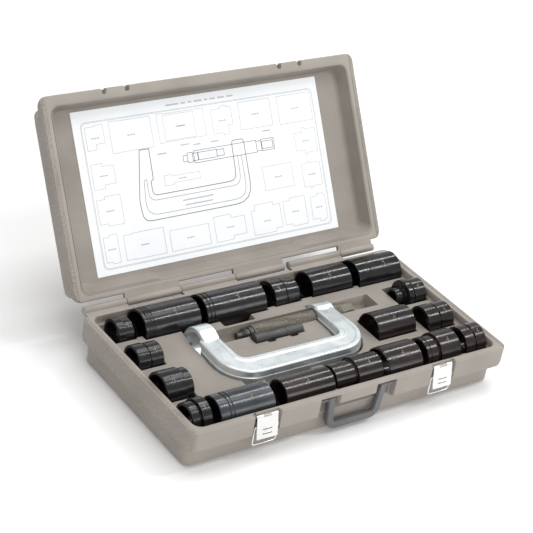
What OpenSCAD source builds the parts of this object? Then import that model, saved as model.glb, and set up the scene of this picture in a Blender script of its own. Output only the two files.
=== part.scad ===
// Ball joint service set: press frame, forcing screw and adapters in a hinged carrying case.
// Frame: origin at the centre of the case underside, +X to the right, +Y to the hinge, +Z up.
// The case is drawn open, with its latches and handle hanging, as it stands on a bench.

/* [Case] */
// Outer width of the case
case_w = 610; // [600:1:640]
// Outer depth of the case, without the hinge
case_d = 324; // [320:1:340]
// Height of the base from its underside to the parting plane
base_h = 76; // [74:1:84]
// Depth of the closed lid above the parting plane
lid_h = 52; // [46:1:60]
// Opening angle of the lid, at its stop
lid_open = 121.7; // [95:0.1:130]
// Height of the upper band of the base
band_h = 37; // [30:1:40]
// Height of the band around the lid rim
lid_band_h = 14; // [10:1:20]
// Thickness of the moulded walls
wall = 2.5; // [2:0.5:4]

/* [Hinge] */
// Distance of the hinge axis behind the case
hinge_out = 13; // [10:0.5:16]
// Outer radius of a hinge knuckle
knuckle_r = 7; // [5:0.5:8]
// Diameter of the steel hinge pins
hinge_pin_d = 4; // [3:0.5:5]

/* [Latches and handle] */
// Distance of each latch from the middle of the case
latch_x = 170; // [150:1:190]
// Width of a latch plate
plate_w = 38; // [34:1:40]
// Length of a latch plate below its pin
plate_l = 36; // [30:1:38]
// How far a loose latch plate leans out
plate_lean = 11; // [6:1:14]
// Wire diameter of a latch bail
bail_d = 2.5; // [2:0.1:3]
// Length of a latch bail below its pivot
bail_l = 32; // [32:0.5:33]
// Half width of the handle at its pivots
handle_half = 56; // [50:1:58]
// Drop of the handle below its pivots
handle_drop = 58; // [50:1:59]

/* [Press] */
// Height of the screw axis above the case underside
press_z = 54; // [52:0.5:56]
// Distance of the screw axis behind the middle of the case
press_y = 52; // [50:0.5:56]
// Thickness of the C-frame
frame_t = 48; // [40:1:50]
// Major diameter of the forcing screw
screw_d = 28.6; // [26:0.1:30]
// Width across the flats of the screw head
hex_af = 22.2; // [20:0.1:24]
// Outer radius of the receiving ring of the C-frame
ring_r = 33; // [31:0.5:34]
// Bore radius of the receiving ring
ring_bore_r = 24; // [20:0.5:25]

/* [Tray] */
// Height of the tray surface, and of the axes of the adapters
tray_z = 63; // [60:0.5:66]
// Gap between an adapter and its pocket
pocket_gap = 1.5; // [1:0.25:2]

/* [Hidden] */
$fn = 96;

plastic = "#a29a8e";
liner_plastic = "#aca498";
zinc = "#dfe6e8";
black_oxide = "#2a2b2e";
steel = "#c9ccce";

front = -case_d / 2;
rear = case_d / 2;
eps = 0.01;
corner_r = 12;

// rim opening of the base
rim_x = 290;
rim_front = front + 12;
rim_rear = rear - 6;
body_inset = 6;
body_front_inset = 14;
band_z = base_h - band_h;
inner_front = front + body_front_inset + wall;
inner_rear = rear - body_inset - wall;

// hinge
hinge_y = rear + hinge_out;
hinge_z = base_h;
knuckle_gap = 0.5;
// stations between the knuckles, from left to right
BASE_KNUCKLES = [[-293, -217], [-114, -9], [101, 209]];
LID_KNUCKLES = [[-216, -115], [-8, 91], [210, 282]];
HINGE_PINS = [[-291, 90], [102, 280]];

// recess of the lid
lid_in_x = 287;
lid_in_front = front + 17;
lid_in_rear = rear - 9;
lid_recess = 22;
card_size = [480, 262, 0.6];
card_x = -6.5;
card_y = hinge_y - 175.5;

// latches
latch_recess_w = 46;
latch_recess_d = 8;
latch_y = front + 5;
latch_z = base_h - 6;
latch_pin_d = 3;
plate_t = 1.6;
knuckle_latch_r = 2.8;
lug_half = 8;
lug_gap = 0.6;
plate_side = 4.6;
bail_drop = 16;
bail_half = plate_w / 2 + 2;
bail_y = latch_y - bail_drop * sin(plate_lean);
bail_z = latch_z - bail_drop * cos(plate_lean);
catch_w = 32;
notch_w = 52;
notch_d = 9;
catch_h = 8;

// handle
handle_y = front + 5.5;
handle_z = base_h - 10;
handle_t = 9;
handle_arm = 12;
handle_slot = 72;
handle_slot_in = 40;
handle_slot_d = 11;
trunnion_r = 3;

// press
screw_x = [-53, 123];
hex_l = 23;
nose_x = -83;
ring_x = [-163, -125];
boss_x = [69, 102];
boss_r = 23;
arm_l = [-170, -130];
spine_y = [-71, -26];
arm_r = [64, 101];
bend_out = 52;
bend_in = 18;
nose_shank_r = 6;
nose_run = 0.1;
ball_r = 4;

// Each turned adapter: its left end, its Y, its outer steps and its bore steps.
// A step is [length, radius], counted from the left end.
CUP_1 = [-272, 121, [[13, 24], [16, 20.5]], [[14, 19], [15, 12]]];
TUBE_2 = [-228, 120, [[5, 31], [2, 30], [3, 31], [2, 30], [3, 31], [2, 30], [85, 31]], [[12, 27], [90, 25]]];
TUBE_3 = [-113, 121.5, [[5, 31], [2.5, 29.5], [5, 31], [2, 29.8], [100.5, 31]], [[10, 27], [105, 25]]];
ADAPTER_4 = [22, 121, [[23, 28], [2, 25], [5, 27], [3, 26], [17, 25]], [[18, 21], [32, 14]]];
TUBE_5 = [99, 123, [[82, 28]], [[8, 25], [74, 23]]];
TUBE_6 = [195, 122, [[25, 30.5], [1.5, 29.8], [63.5, 30.5]], [[10, 27], [80, 24.5]]];
CUP_7 = [-281, 45, [[19, 25], [3, 22], [22, 23.5]], [[16, 20], [28, 13]]];
CUP_8 = [-285, -37, [[34, 30], [14, 27]], [[22, 25], [26, 17]]];
ADAPTER_9 = [-285, -111, [[13, 25], [3, 22.5], [16, 28]], [[10, 20], [22, 14]]];
TUBE_10 = [-241, -116, [[15, 28.5], [3, 27], [4, 28.5], [2, 27.4], [73, 28.5]], [[12, 25], [85, 22.5]]];
TUBE_11 = [-119, -114, [[91, 25]], [[8, 21.5], [83, 20]]];
ADAPTER_12 = [-20, -110, [[40, 22], [5, 26.5], [44, 26]], [[60, 17], [29, 20]]];
TUBE_13 = [75, -112, [[2, 30], [66, 31]], [[10, 27.5], [58, 25]]];
ADAPTER_14 = [160, -109, [[6, 27], [2, 26], [14, 27], [4, 25], [40, 30]], [[20, 22], [46, 16]]];
ADAPTER_15 = [241, -108, [[19, 28], [3, 25.5], [20, 28]], [[14, 22], [28, 15]]];
PILOT_16 = [228, 44, [[18, 15], [10, 26], [3, 22], [24, 24]], [[30, 11], [25, 14]]];
TUBE_17 = [126, -23, [[76, 29]], [[14, 26.5], [62, 24]]];
CUP_18 = [224, -34, [[24, 27], [3, 24], [26, 26]], [[20, 22.5], [33, 15]]];
// Each pocket of the tray: its front and rear walls, and the adapters that lie in it from left to right
tray_t = 2.5;
pocket_end = 3;
rest_gap = 0.3;
ROWS = [
    [[88, inner_rear], [CUP_1, TUBE_2, TUBE_3, ADAPTER_4, TUBE_5, TUBE_6]],
    [[inner_front, -77.5], [ADAPTER_9, TUBE_10, TUBE_11, ADAPTER_12, TUBE_13, ADAPTER_14, ADAPTER_15]],
    [side_walls(CUP_7), [CUP_7]],
    [side_walls(CUP_8), [CUP_8]],
    [side_walls(PILOT_16), [PILOT_16]],
    [side_walls(CUP_18), [CUP_18]],
    [side_walls(TUBE_17), [TUBE_17]]
];

// stepped driver pin: left end, axis height, Y, and steps
pin_x = -70;
pin_y = 24;
pin_z = 64;
PIN_STEPS = [[26, 9], [34, 7.5], [33, 8.2]];

function station(steps, i) = i == 0 ? 0 : station(steps, i - 1) + steps[i - 1][0];
function outline(steps) = [
    for (i = [0 : len(steps) - 1]) each [
        [steps[i][1], station(steps, i)],
        [steps[i][1], station(steps, i + 1)]
    ]
];
function reversed(points) = [for (i = [len(points) - 1 : -1 : 0]) points[i]];
function length_of(steps) = station(steps, len(steps));
function widest(steps) = max([for (s = steps) s[1]]);
function end_of(part) = part[0] + length_of(part[2]);
function side_walls(part) = [part[1] - widest(part[2]) - pocket_gap, part[1] + widest(part[2]) + pocket_gap];

// A plate with round vertical corners, from x0,y0 to x1,y1
module rounded(x0, y0, x1, y1, h, r) {
    linear_extrude(h) {
        translate([x0 + r, y0]) square([x1 - x0 - 2 * r, y1 - y0]);
        translate([x0, y0 + r]) square([x1 - x0, y1 - y0 - 2 * r]);
        for (x = [x0 + r, x1 - r], y = [y0 + r, y1 - r]) translate([x, y]) circle(r);
    }
}

// A cylinder along X
module rod(x0, x1, y, z, r) {
    translate([x0, y, z]) rotate([0, 90, 0]) cylinder(r = r, h = x1 - x0);
}

// A box from one corner to the other
module block(low, high) {
    translate(low) cube(high - low);
}

// Carries a shape from the closed lid to the open one
module opened() {
    translate([0, hinge_y, hinge_z])
        rotate([-lid_open, 0, 0])
            translate([0, -hinge_y, -hinge_z])
                children();
}

// A turned ring along X with stepped outside and bore
module turned(part) {
    translate([part[0], part[1], tray_z])
        rotate([0, 90, 0])
            rotate_extrude()
                polygon(concat(outline(part[2]), reversed(outline(part[3]))));
}

// Hinge knuckles and the webs that join them to a rim; side is -1 below the parting plane, 1 above
module knuckles(spans, side) {
    for (s = spans) {
        rod(s[0], s[1], hinge_y, hinge_z, knuckle_r);
        block([s[0], rear - 8, hinge_z + min(0, side * knuckle_r)],
              [s[1], hinge_y, hinge_z + max(0, side * knuckle_r)]);
    }
}

// Notches that the knuckles of the other half turn in
module knuckle_room(spans) {
    for (s = spans) rod(s[0] - knuckle_gap, s[1] + knuckle_gap, hinge_y, hinge_z, knuckle_r + 0.6);
}

module hinge_bores() {
    for (p = HINGE_PINS) rod(p[0], p[1], hinge_y, hinge_z, hinge_pin_d / 2);
}

module case_base() {
    color(plastic) difference() {
        union() {
            translate([0, 0, band_z])
                rounded(-case_w / 2, front, case_w / 2, rear, band_h, corner_r);
            rounded(-case_w / 2 + body_inset, front + body_front_inset,
                    case_w / 2 - body_inset, rear - body_inset, band_z + eps, corner_r);
            knuckles(BASE_KNUCKLES, -1);
        }
        // inside of the lower body
        translate([0, 0, wall])
            rounded(-case_w / 2 + body_inset + wall, inner_front,
                    case_w / 2 - body_inset - wall, inner_rear, base_h, corner_r - wall);
        // rim opening
        translate([0, 0, tray_z - wall])
            rounded(-rim_x, rim_front, rim_x, rim_rear, base_h, 10);
        for (side = [-1, 1]) {
            latch_recess(side * latch_x);
            handle_slot(side);
        }
        block([-handle_slot, front - 1, 10], [handle_slot, front + handle_slot_d, base_h - 20]);
        knuckle_room(LID_KNUCKLES);
        hinge_bores();
    }
}

// Recess for a latch, with a lug left standing in it for the latch pin
module latch_recess(x) {
    difference() {
        block([x - latch_recess_w / 2, front - 1, band_z - 1],
              [x + latch_recess_w / 2, front + latch_recess_d, base_h + 1]);
        rod(x - lug_half, x + lug_half, latch_y, latch_z, knuckle_latch_r);
        block([x - lug_half, latch_y, latch_z - knuckle_latch_r],
              [x + lug_half, front + latch_recess_d + 1, latch_z + knuckle_latch_r]);
    }
    rod(x - plate_w / 2, x + plate_w / 2, latch_y, latch_z, latch_pin_d / 2);
}

module handle_slot(side) {
    rod(min(side * handle_half, side * (handle_slot + 8)), max(side * handle_half, side * (handle_slot + 8)),
        handle_y, handle_z, trunnion_r);
    block([min(side * handle_slot_in, side * handle_slot), front - 1, band_z - 1],
          [max(side * handle_slot_in, side * handle_slot), front + handle_slot_d, base_h - 3]);
}

// One pocket for a row of adapters, open upwards. Its floor steps up and down to carry each one.
module row_pocket(row, grow) {
    parts = row[1];
    last = len(parts) - 1;
    for (i = [0 : last]) {
        left = i == 0 ? parts[0][0] - pocket_end : (end_of(parts[i - 1]) + parts[i][0]) / 2;
        right = i == last ? end_of(parts[last]) + pocket_end : (end_of(parts[i]) + parts[i + 1][0]) / 2;
        block([left - grow, row[0][0] - grow, tray_z - widest(parts[i][2]) - rest_gap - grow],
              [right + grow, row[0][1] + grow, base_h]);
    }
}

// The pocket of the press: its frame, ring, screw channel and the way to the hex head
module press_pocket(grow) {
    g = 2 + grow;
    low = press_z - frame_t / 2 - g;
    translate([0, 0, low]) press_outline_extruded(base_h, g);
    rod(ring_x[0] - g, ring_x[1] + g, press_y, press_z, ring_r + g);
    block([ring_x[0] - g, press_y - ring_r - g, press_z],
          [ring_x[1] + g, press_y + ring_r + g, base_h + 20]);
    rod(ring_x[1] - 1, 192 + grow, press_y, press_z, screw_d / 2 + g);
    block([ring_x[1] - 1, press_y - screw_d / 2 - g, press_z],
          [192 + grow, press_y + screw_d / 2 + g, base_h + 20]);
    rod(boss_x[0] - g, boss_x[1] + g, press_y, press_z, boss_r + g);
    block([boss_x[0] - g, press_y - boss_r - g, press_z],
          [boss_x[1] + g, press_y + boss_r + g, base_h + 20]);
}

module pin_pocket(grow) {
    x1 = pin_x + length_of(PIN_STEPS);
    rod(pin_x - 2 - grow, x1 + 2 + grow, pin_y, pin_z, widest(PIN_STEPS) + 1 + grow);
    block([pin_x - 2 - grow, pin_y - widest(PIN_STEPS) - 1 - grow, pin_z],
          [x1 + 2 + grow, pin_y + widest(PIN_STEPS) + 1 + grow, base_h]);
}

module tool_tray() {
    color(liner_plastic) difference() {
        union() {
            translate([0, 0, tray_z - wall])
                rounded(-rim_x, rim_front, rim_x, rim_rear, wall, 10);
            intersection() {
                union() {
                    for (row = ROWS) row_pocket(row, tray_t);
                    press_pocket(tray_t);
                    pin_pocket(tray_t);
                }
                translate([0, 0, wall])
                    rounded(-case_w / 2 + body_inset + wall, inner_front, case_w / 2 - body_inset - wall,
                            inner_rear, tray_z - 2 * wall, corner_r - wall);
            }
        }
        for (row = ROWS) row_pocket(row, 0);
        press_pocket(0);
        pin_pocket(0);
    }
}

// Plan of the C-frame, grown by g
module press_outline(g) {
    difference() {
        union() {
            translate([arm_l[0] - g, spine_y[0] + bend_out]) square([arm_l[1] - arm_l[0] + 2 * g, 60]);
            translate([arm_r[0] - g, spine_y[0] + bend_out]) square([arm_r[1] - arm_r[0] + 2 * g, 72]);
            translate([arm_l[0] + bend_out, spine_y[0] - g])
                square([arm_r[1] - arm_l[0] - bend_out - 34, spine_y[1] - spine_y[0] + 2 * g]);
            translate([arm_l[0] + bend_out, spine_y[0] + bend_out]) circle(bend_out + g);
            translate([arm_r[1] - 34, spine_y[0] + 34]) circle(34 + g);
            translate([arm_r[1] - 34, spine_y[0] + 30]) square([34 + g, 40]);
        }
        translate([arm_l[1] + g, spine_y[1] + g]) {
            translate([bend_in, 0]) square([arm_r[0] - arm_l[1] - 2 * g - 2 * bend_in, 90]);
            translate([0, bend_in]) square([arm_r[0] - arm_l[1] - 2 * g, 90]);
            translate([bend_in, bend_in]) circle(bend_in);
            translate([arm_r[0] - arm_l[1] - 2 * g - bend_in, bend_in]) circle(bend_in);
        }
    }
}

module press_outline_extruded(h, g) {
    linear_extrude(h) press_outline(g);
}

module c_frame() {
    color(zinc) difference() {
        union() {
            translate([0, 0, press_z - frame_t / 2]) press_outline_extruded(frame_t, 0);
            rod(ring_x[0], ring_x[1], press_y, press_z, ring_r);
            rod(boss_x[0], boss_x[1], press_y, press_z, boss_r);
        }
        // the frame is an I section: a shallow channel along each face of the spine
        for (z = [press_z + frame_t / 2 - 3, press_z - frame_t / 2 - 1]) translate([0, 0, z])
            rounded(arm_l[0] + 40, spine_y[0] + 10, arm_r[1] - 22, spine_y[1] - 10, 4, 8);
        rod(ring_x[0] - 1, ring_x[1] + 1, press_y, press_z, ring_bore_r);
        rod(arm_l[0] - 1, ring_x[0], press_y, press_z, ring_bore_r + 2);
        block([ring_x[1], press_y - 20, press_z - 30], [boss_x[0], press_y + 60, press_z + 30]);
        rod(boss_x[0] - 1, boss_x[1] + 1, press_y, press_z, screw_d / 2 + 0.05);
        set_screw_rod(2.5);
    }
}

// Axis of the ring set screw: across the ring wall, 40 degrees above level, on the side of the spine
module set_screw_rod(r) {
    translate([ring_x[0] + 14, press_y, press_z])
        rotate([130, 0, 0])
            translate([0, 0, ring_bore_r - 1])
                cylinder(r = r, h = 14);
}

module ring_set_screw() {
    color(black_oxide) translate([ring_x[0] + 14, press_y, press_z])
        rotate([130, 0, 0])
            translate([0, 0, ring_bore_r + 0.5])
                difference() {
                    cylinder(r = 2.5, h = 7.5);
                    translate([0, 0, 4.5]) cylinder(r = 1.4, h = 5, $fn = 6);
                }
}

module forcing_screw() {
    color("#b3a998") difference() {
        union() {
            rod(screw_x[0], screw_x[1], press_y, press_z, screw_d / 2);
            translate([screw_x[1] - eps, press_y, press_z])
                rotate([0, 90, 0])
                    cylinder(d = hex_af / cos(30), h = hex_l + eps, $fn = 6);
        }
        // socket of the nose, with the seat of the thrust ball at its end
        rod(screw_x[0] - 1, screw_x[0] + 16, press_y, press_z, nose_shank_r + nose_run);
        rod(screw_x[0] + 15, screw_x[0] + 21, press_y, press_z, ball_r + nose_run);
    }
}

module thrust_ball() {
    color(steel) translate([screw_x[0] + 16.5, press_y, press_z]) sphere(ball_r);
}

module screw_nose() {
    color("#6d6c69") union() {
        rod(nose_x, nose_x + 9, press_y, press_z, 6.5);
        rod(nose_x + 9, nose_x + 12, press_y, press_z, 8);
        rod(nose_x + 12, nose_x + 14.1, press_y, press_z, 10);
        rod(nose_x + 14.1, nose_x + 15.9, press_y, press_z, 8);
        rod(nose_x + 15.9, screw_x[0] - 8, press_y, press_z, 10);
        rod(screw_x[0] - 8, screw_x[0] - 0.5, press_y, press_z, 11.5);
        rod(screw_x[0] - 1, screw_x[0] + 12.5, press_y, press_z, nose_shank_r);
    }
}

module nose_retaining_ring() {
    color(steel) translate([nose_x + 14.2, press_y, press_z])
        rotate([0, 90, 0])
            difference() {
                cylinder(r = 11, h = 1.6);
                translate([0, 0, -1]) cylinder(r = 8.05, h = 4);
            }
}

module stepped_driver_pin() {
    color("#55554f") translate([pin_x, pin_y, pin_z])
        rotate([0, 90, 0])
            rotate_extrude()
                polygon(concat([[0, 0]], outline(PIN_STEPS), [[0, length_of(PIN_STEPS)]]));
}

module lid_shell() {
    color(plastic) opened() difference() {
        union() {
            translate([0, 0, base_h])
                rounded(-case_w / 2, front, case_w / 2, rear, lid_band_h, corner_r);
            translate([0, 0, base_h + lid_band_h - eps])
                rounded(-case_w / 2 + body_inset, front + body_front_inset,
                        case_w / 2 - body_inset, rear - 3, lid_h - lid_band_h + eps, corner_r);
            knuckles(LID_KNUCKLES, 1);
        }
        translate([0, 0, base_h - 1])
            rounded(-lid_in_x - wall, lid_in_front - wall, lid_in_x + wall, lid_in_rear + wall,
                    lid_h - wall + 1, 10);
        for (side = [-1, 1]) difference() {
            block([side * latch_x - notch_w / 2, front - 1, base_h - 1],
                  [side * latch_x + notch_w / 2, front + notch_d, base_h + lid_band_h + 1]);
            latch_catch(side * latch_x);
        }
        knuckle_room(BASE_KNUCKLES);
        hinge_bores();
    }
}

// Catch that the bail hooks over, with a lip along its front edge
module latch_catch(x) {
    block([x - catch_w / 2, front, base_h], [x + catch_w / 2, front + notch_d + 1, base_h + catch_h]);
    block([x - catch_w / 2, front, base_h], [x + catch_w / 2, front + 2, base_h + catch_h + 2]);
}

// The lid's inner skin is two pieces: the wall round the recess and the panel at its bottom
module lid_liner() {
    color(liner_plastic) opened() difference() {
        translate([0, 0, base_h])
            rounded(-lid_in_x - wall, lid_in_front - wall, lid_in_x + wall, lid_in_rear + wall,
                    lid_recess, 10);
        translate([0, 0, base_h - 1])
            rounded(-lid_in_x, lid_in_front, lid_in_x, lid_in_rear, lid_recess + 2, 8);
    }
}

module lid_panel() {
    color(liner_plastic) opened()
        translate([0, 0, base_h + lid_recess])
            rounded(-lid_in_x - wall, lid_in_front - wall, lid_in_x + wall, lid_in_rear + wall, wall, 10);
}

module layout_card() {
    color("white") opened()
        translate([card_x - card_size[0] / 2, card_y - card_size[1] / 2, base_h + lid_recess - card_size[2]])
            cube(card_size);
}

module hinge_pin(span) {
    color(steel) rod(span[0], span[1], hinge_y, hinge_z, hinge_pin_d / 2);
}

module hinge_pin_left() {
    hinge_pin(HINGE_PINS[0]);
}

module hinge_pin_right() {
    hinge_pin(HINGE_PINS[1]);
}

// A pressed plate: rolled knuckle, face, two side walls that carry the bail, and a curled lower edge
module latch_plate(x) {
    color(steel) translate([x, latch_y, latch_z])
        rotate([-plate_lean, 0, 0])
            difference() {
                union() {
                    rod(-plate_w / 2, plate_w / 2, 0, 0, knuckle_latch_r);
                    block([-plate_w / 2, -knuckle_latch_r, -plate_l],
                          [plate_w / 2, -knuckle_latch_r + plate_t, 0]);
                    for (side = [-1, 1])
                        block([min(side * plate_w / 2, side * (plate_w / 2 - plate_t)),
                               -knuckle_latch_r, -plate_l + 6],
                              [max(side * plate_w / 2, side * (plate_w / 2 - plate_t)),
                               plate_side - knuckle_latch_r, 0]);
                }
                rod(-lug_half - lug_gap, lug_half + lug_gap, 0, 0, knuckle_latch_r + lug_gap);
                rod(-plate_w, plate_w, 0, 0, latch_pin_d / 2 + 0.05);
                rod(-plate_w, plate_w, 0, -bail_drop, bail_d / 2 + 0.05);
            }
}

module latch_plate_left() {
    latch_plate(-latch_x);
}

module latch_plate_right() {
    latch_plate(latch_x);
}

module latch_pin(x) {
    color(steel)
        rod(x - plate_w / 2 + 0.5, x + plate_w / 2 - 0.5, latch_y, latch_z, latch_pin_d / 2);
}

module latch_pin_left() {
    latch_pin(-latch_x);
}

module latch_pin_right() {
    latch_pin(latch_x);
}

// A wire loop: two ends through the plate, two legs and a cross bar, with round corners
module latch_bail(x) {
    bend = 3.5;
    color(steel) translate([x, bail_y, bail_z]) {
        for (side = [-1, 1]) {
            rod(min(side * bail_half, side * (plate_w / 2 - 3)),
                max(side * bail_half, side * (plate_w / 2 - 3)), 0, 0, bail_d / 2);
            translate([side * bail_half, 0, -bail_l + bend]) cylinder(d = bail_d, h = bail_l - bend);
            translate([side * bail_half, 0, 0]) sphere(d = bail_d);
            translate([side * (bail_half - bend), 0, -bail_l + bend])
                rotate([90, 0, 0])
                    rotate_extrude(angle = 90, start = side < 0 ? 180 : 270)
                        translate([bend, 0]) circle(d = bail_d);
        }
        rod(-bail_half + bend, bail_half - bend, 0, -bail_l, bail_d / 2);
    }
}

module latch_bail_left() {
    latch_bail(-latch_x);
}

module latch_bail_right() {
    latch_bail(latch_x);
}

module carry_handle() {
    taper = 6;
    bend = 14;
    color("#77787b") translate([0, handle_y, handle_z]) {
        rod(-handle_slot - 6, -handle_half + 1, 0, 0, trunnion_r - 0.1);
        rod(handle_half - 1, handle_slot + 6, 0, 0, trunnion_r - 0.1);
        for (side = [-1, 1]) rod(side < 0 ? -handle_half : handle_half - handle_arm,
                                 side < 0 ? -handle_half + handle_arm : handle_half, 0, 0, handle_t / 2);
        translate([0, handle_t / 2, 0])
            rotate([90, 0, 0])
                linear_extrude(handle_t) difference() {
                    union() {
                        polygon([
                            [-handle_half, 0], [handle_half, 0],
                            [handle_half - taper, -handle_drop + bend],
                            [handle_half - taper - bend, -handle_drop],
                            [-handle_half + taper + bend, -handle_drop],
                            [-handle_half + taper, -handle_drop + bend]
                        ]);
                        for (side = [-1, 1])
                            translate([side * (handle_half - taper - bend), -handle_drop + bend]) circle(bend);
                    }
                    polygon([
                        [-handle_half + handle_arm, 1], [handle_half - handle_arm, 1],
                        [handle_half - handle_arm - taper, -handle_drop + handle_arm],
                        [-handle_half + handle_arm + taper, -handle_drop + handle_arm]
                    ]);
                }
    }
}

module cup_adapter_1() {
    color(black_oxide) turned(CUP_1);
}

module receiving_tube_2() {
    color(black_oxide) turned(TUBE_2);
}

module receiving_tube_3() {
    color(black_oxide) turned(TUBE_3);
}

module installing_adapter_4() {
    color(black_oxide) turned(ADAPTER_4);
}

module receiving_tube_5() {
    color(black_oxide) turned(TUBE_5);
}

module receiving_tube_6() {
    color(black_oxide) turned(TUBE_6);
}

module cup_adapter_7() {
    color(black_oxide) turned(CUP_7);
}

module cup_adapter_8() {
    color(black_oxide) turned(CUP_8);
}

module installing_adapter_9() {
    color(black_oxide) turned(ADAPTER_9);
}

module receiving_tube_10() {
    color(black_oxide) turned(TUBE_10);
}

module receiving_tube_11() {
    color(black_oxide) turned(TUBE_11);
}

module installing_adapter_12() {
    color(black_oxide) turned(ADAPTER_12);
}

module receiving_tube_13() {
    color(black_oxide) turned(TUBE_13);
}

module installing_adapter_14() {
    color(black_oxide) turned(ADAPTER_14);
}

module installing_adapter_15() {
    color(black_oxide) turned(ADAPTER_15);
}

module pilot_adapter_16() {
    color(black_oxide) turned(PILOT_16);
}

module receiving_tube_17() {
    color(black_oxide) turned(TUBE_17);
}

module cup_adapter_18() {
    color(black_oxide) turned(CUP_18);
}

case_base();
tool_tray();
lid_shell();
lid_liner();
lid_panel();
layout_card();
hinge_pin_left();
hinge_pin_right();
latch_plate_left();
latch_plate_right();
latch_pin_left();
latch_pin_right();
latch_bail_left();
latch_bail_right();
carry_handle();
c_frame();
ring_set_screw();
forcing_screw();
thrust_ball();
screw_nose();
nose_retaining_ring();
stepped_driver_pin();
cup_adapter_1();
receiving_tube_2();
receiving_tube_3();
installing_adapter_4();
receiving_tube_5();
receiving_tube_6();
cup_adapter_7();
cup_adapter_8();
installing_adapter_9();
receiving_tube_10();
receiving_tube_11();
installing_adapter_12();
receiving_tube_13();
installing_adapter_14();
installing_adapter_15();
pilot_adapter_16();
receiving_tube_17();
cup_adapter_18();
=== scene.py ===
# %% [markdown]
# # A ball joint press set in its carrying case
# The set is a hinged, blow-moulded case with a layout card in its lid.
# Its tray holds a plated C-frame press, a driver pin and eighteen turned tubes and adapters.
# The CAD model gives every place and size. This script gives each piece its real surface.

import math

import bmesh
import bpy
import numpy as np
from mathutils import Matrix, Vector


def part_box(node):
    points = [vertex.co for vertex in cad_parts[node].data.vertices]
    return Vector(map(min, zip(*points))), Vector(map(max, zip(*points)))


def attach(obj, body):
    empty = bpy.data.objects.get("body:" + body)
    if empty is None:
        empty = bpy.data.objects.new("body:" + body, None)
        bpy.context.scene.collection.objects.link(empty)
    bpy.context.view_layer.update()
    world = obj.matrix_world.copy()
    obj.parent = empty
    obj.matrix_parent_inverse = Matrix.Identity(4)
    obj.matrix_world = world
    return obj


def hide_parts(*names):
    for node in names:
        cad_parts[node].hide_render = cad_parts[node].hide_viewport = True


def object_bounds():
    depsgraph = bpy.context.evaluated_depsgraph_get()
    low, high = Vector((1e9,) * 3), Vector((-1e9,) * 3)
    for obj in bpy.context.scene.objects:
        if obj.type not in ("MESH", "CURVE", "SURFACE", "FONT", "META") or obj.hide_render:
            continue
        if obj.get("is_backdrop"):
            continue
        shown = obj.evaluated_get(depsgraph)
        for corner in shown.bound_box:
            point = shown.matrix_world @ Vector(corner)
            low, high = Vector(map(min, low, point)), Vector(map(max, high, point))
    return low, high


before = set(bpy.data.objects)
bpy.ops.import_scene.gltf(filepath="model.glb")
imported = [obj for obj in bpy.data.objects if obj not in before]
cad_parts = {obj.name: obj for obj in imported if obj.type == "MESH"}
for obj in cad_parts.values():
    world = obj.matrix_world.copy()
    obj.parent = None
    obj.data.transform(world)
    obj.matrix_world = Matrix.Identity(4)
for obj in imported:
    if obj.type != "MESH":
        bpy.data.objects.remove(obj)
cad_box = [[float(v) for v in corner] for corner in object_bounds()]
MM = 0.001

# %% [markdown]
# ## Camera
# The set is seen from its front left corner, from about thirty degrees up, through a long lens.
# The camera is also rolled about its line of sight, so the case leans.

# %% Camera
CAMERA_PLACE = (-1.5238, -1.7111, 1.5299)
CAMERA_TURN = math.radians(-40.02)
CAMERA_DOWN = math.radians(30.53)
CAMERA_ROLL = math.radians(10.49)


def add_camera():
    """Looks along the turn and the tilt, with its sideways axis turned about the sight line by the roll."""
    sight = -np.array([
        math.sin(CAMERA_TURN) * math.cos(CAMERA_DOWN),
        -math.cos(CAMERA_TURN) * math.cos(CAMERA_DOWN),
        math.sin(CAMERA_DOWN),
    ])
    side = np.cross(sight, [0, 0, 1])
    side = side / np.linalg.norm(side)
    top = np.cross(side, sight)
    turned = np.eye(4)
    turned[:3, 0] = math.cos(CAMERA_ROLL) * side + math.sin(CAMERA_ROLL) * top
    turned[:3, 1] = -math.sin(CAMERA_ROLL) * side + math.cos(CAMERA_ROLL) * top
    turned[:3, 2] = -sight
    turned[:3, 3] = CAMERA_PLACE
    data = bpy.data.cameras.new("camera")
    data.sensor_width = 36
    data.lens = 115.8
    data.shift_x = -0.0032
    data.shift_y = 0.0052
    data.clip_end = 50
    camera = bpy.data.objects.new("camera", data)
    bpy.context.scene.collection.objects.link(camera)
    camera.matrix_world = turned.T.tolist()
    bpy.context.scene.camera = camera
    return camera


camera = add_camera()
print("camera at", [round(v, 3) for v in camera.matrix_world.translation])

# %% [markdown]
# ## Floor and light
# A pale floor goes on past the view, so the case stands on plain white.
# Dark glossy steel shows the lights themselves, so the lamps are placed for their reflections: a long panel
# overhead, one at the front left, a low weak one at the front right, and two narrow strips at the right for
# the thin streaks along the tubes.

# %% Floor and lights
scene = bpy.context.scene
scene.view_settings.view_transform = "Standard"


def new_material(name):
    """A node material that holds one Principled shader, and the shader."""
    material = bpy.data.materials.new(name)
    material.use_nodes = True
    return material, material.node_tree.nodes["Principled BSDF"]


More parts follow.
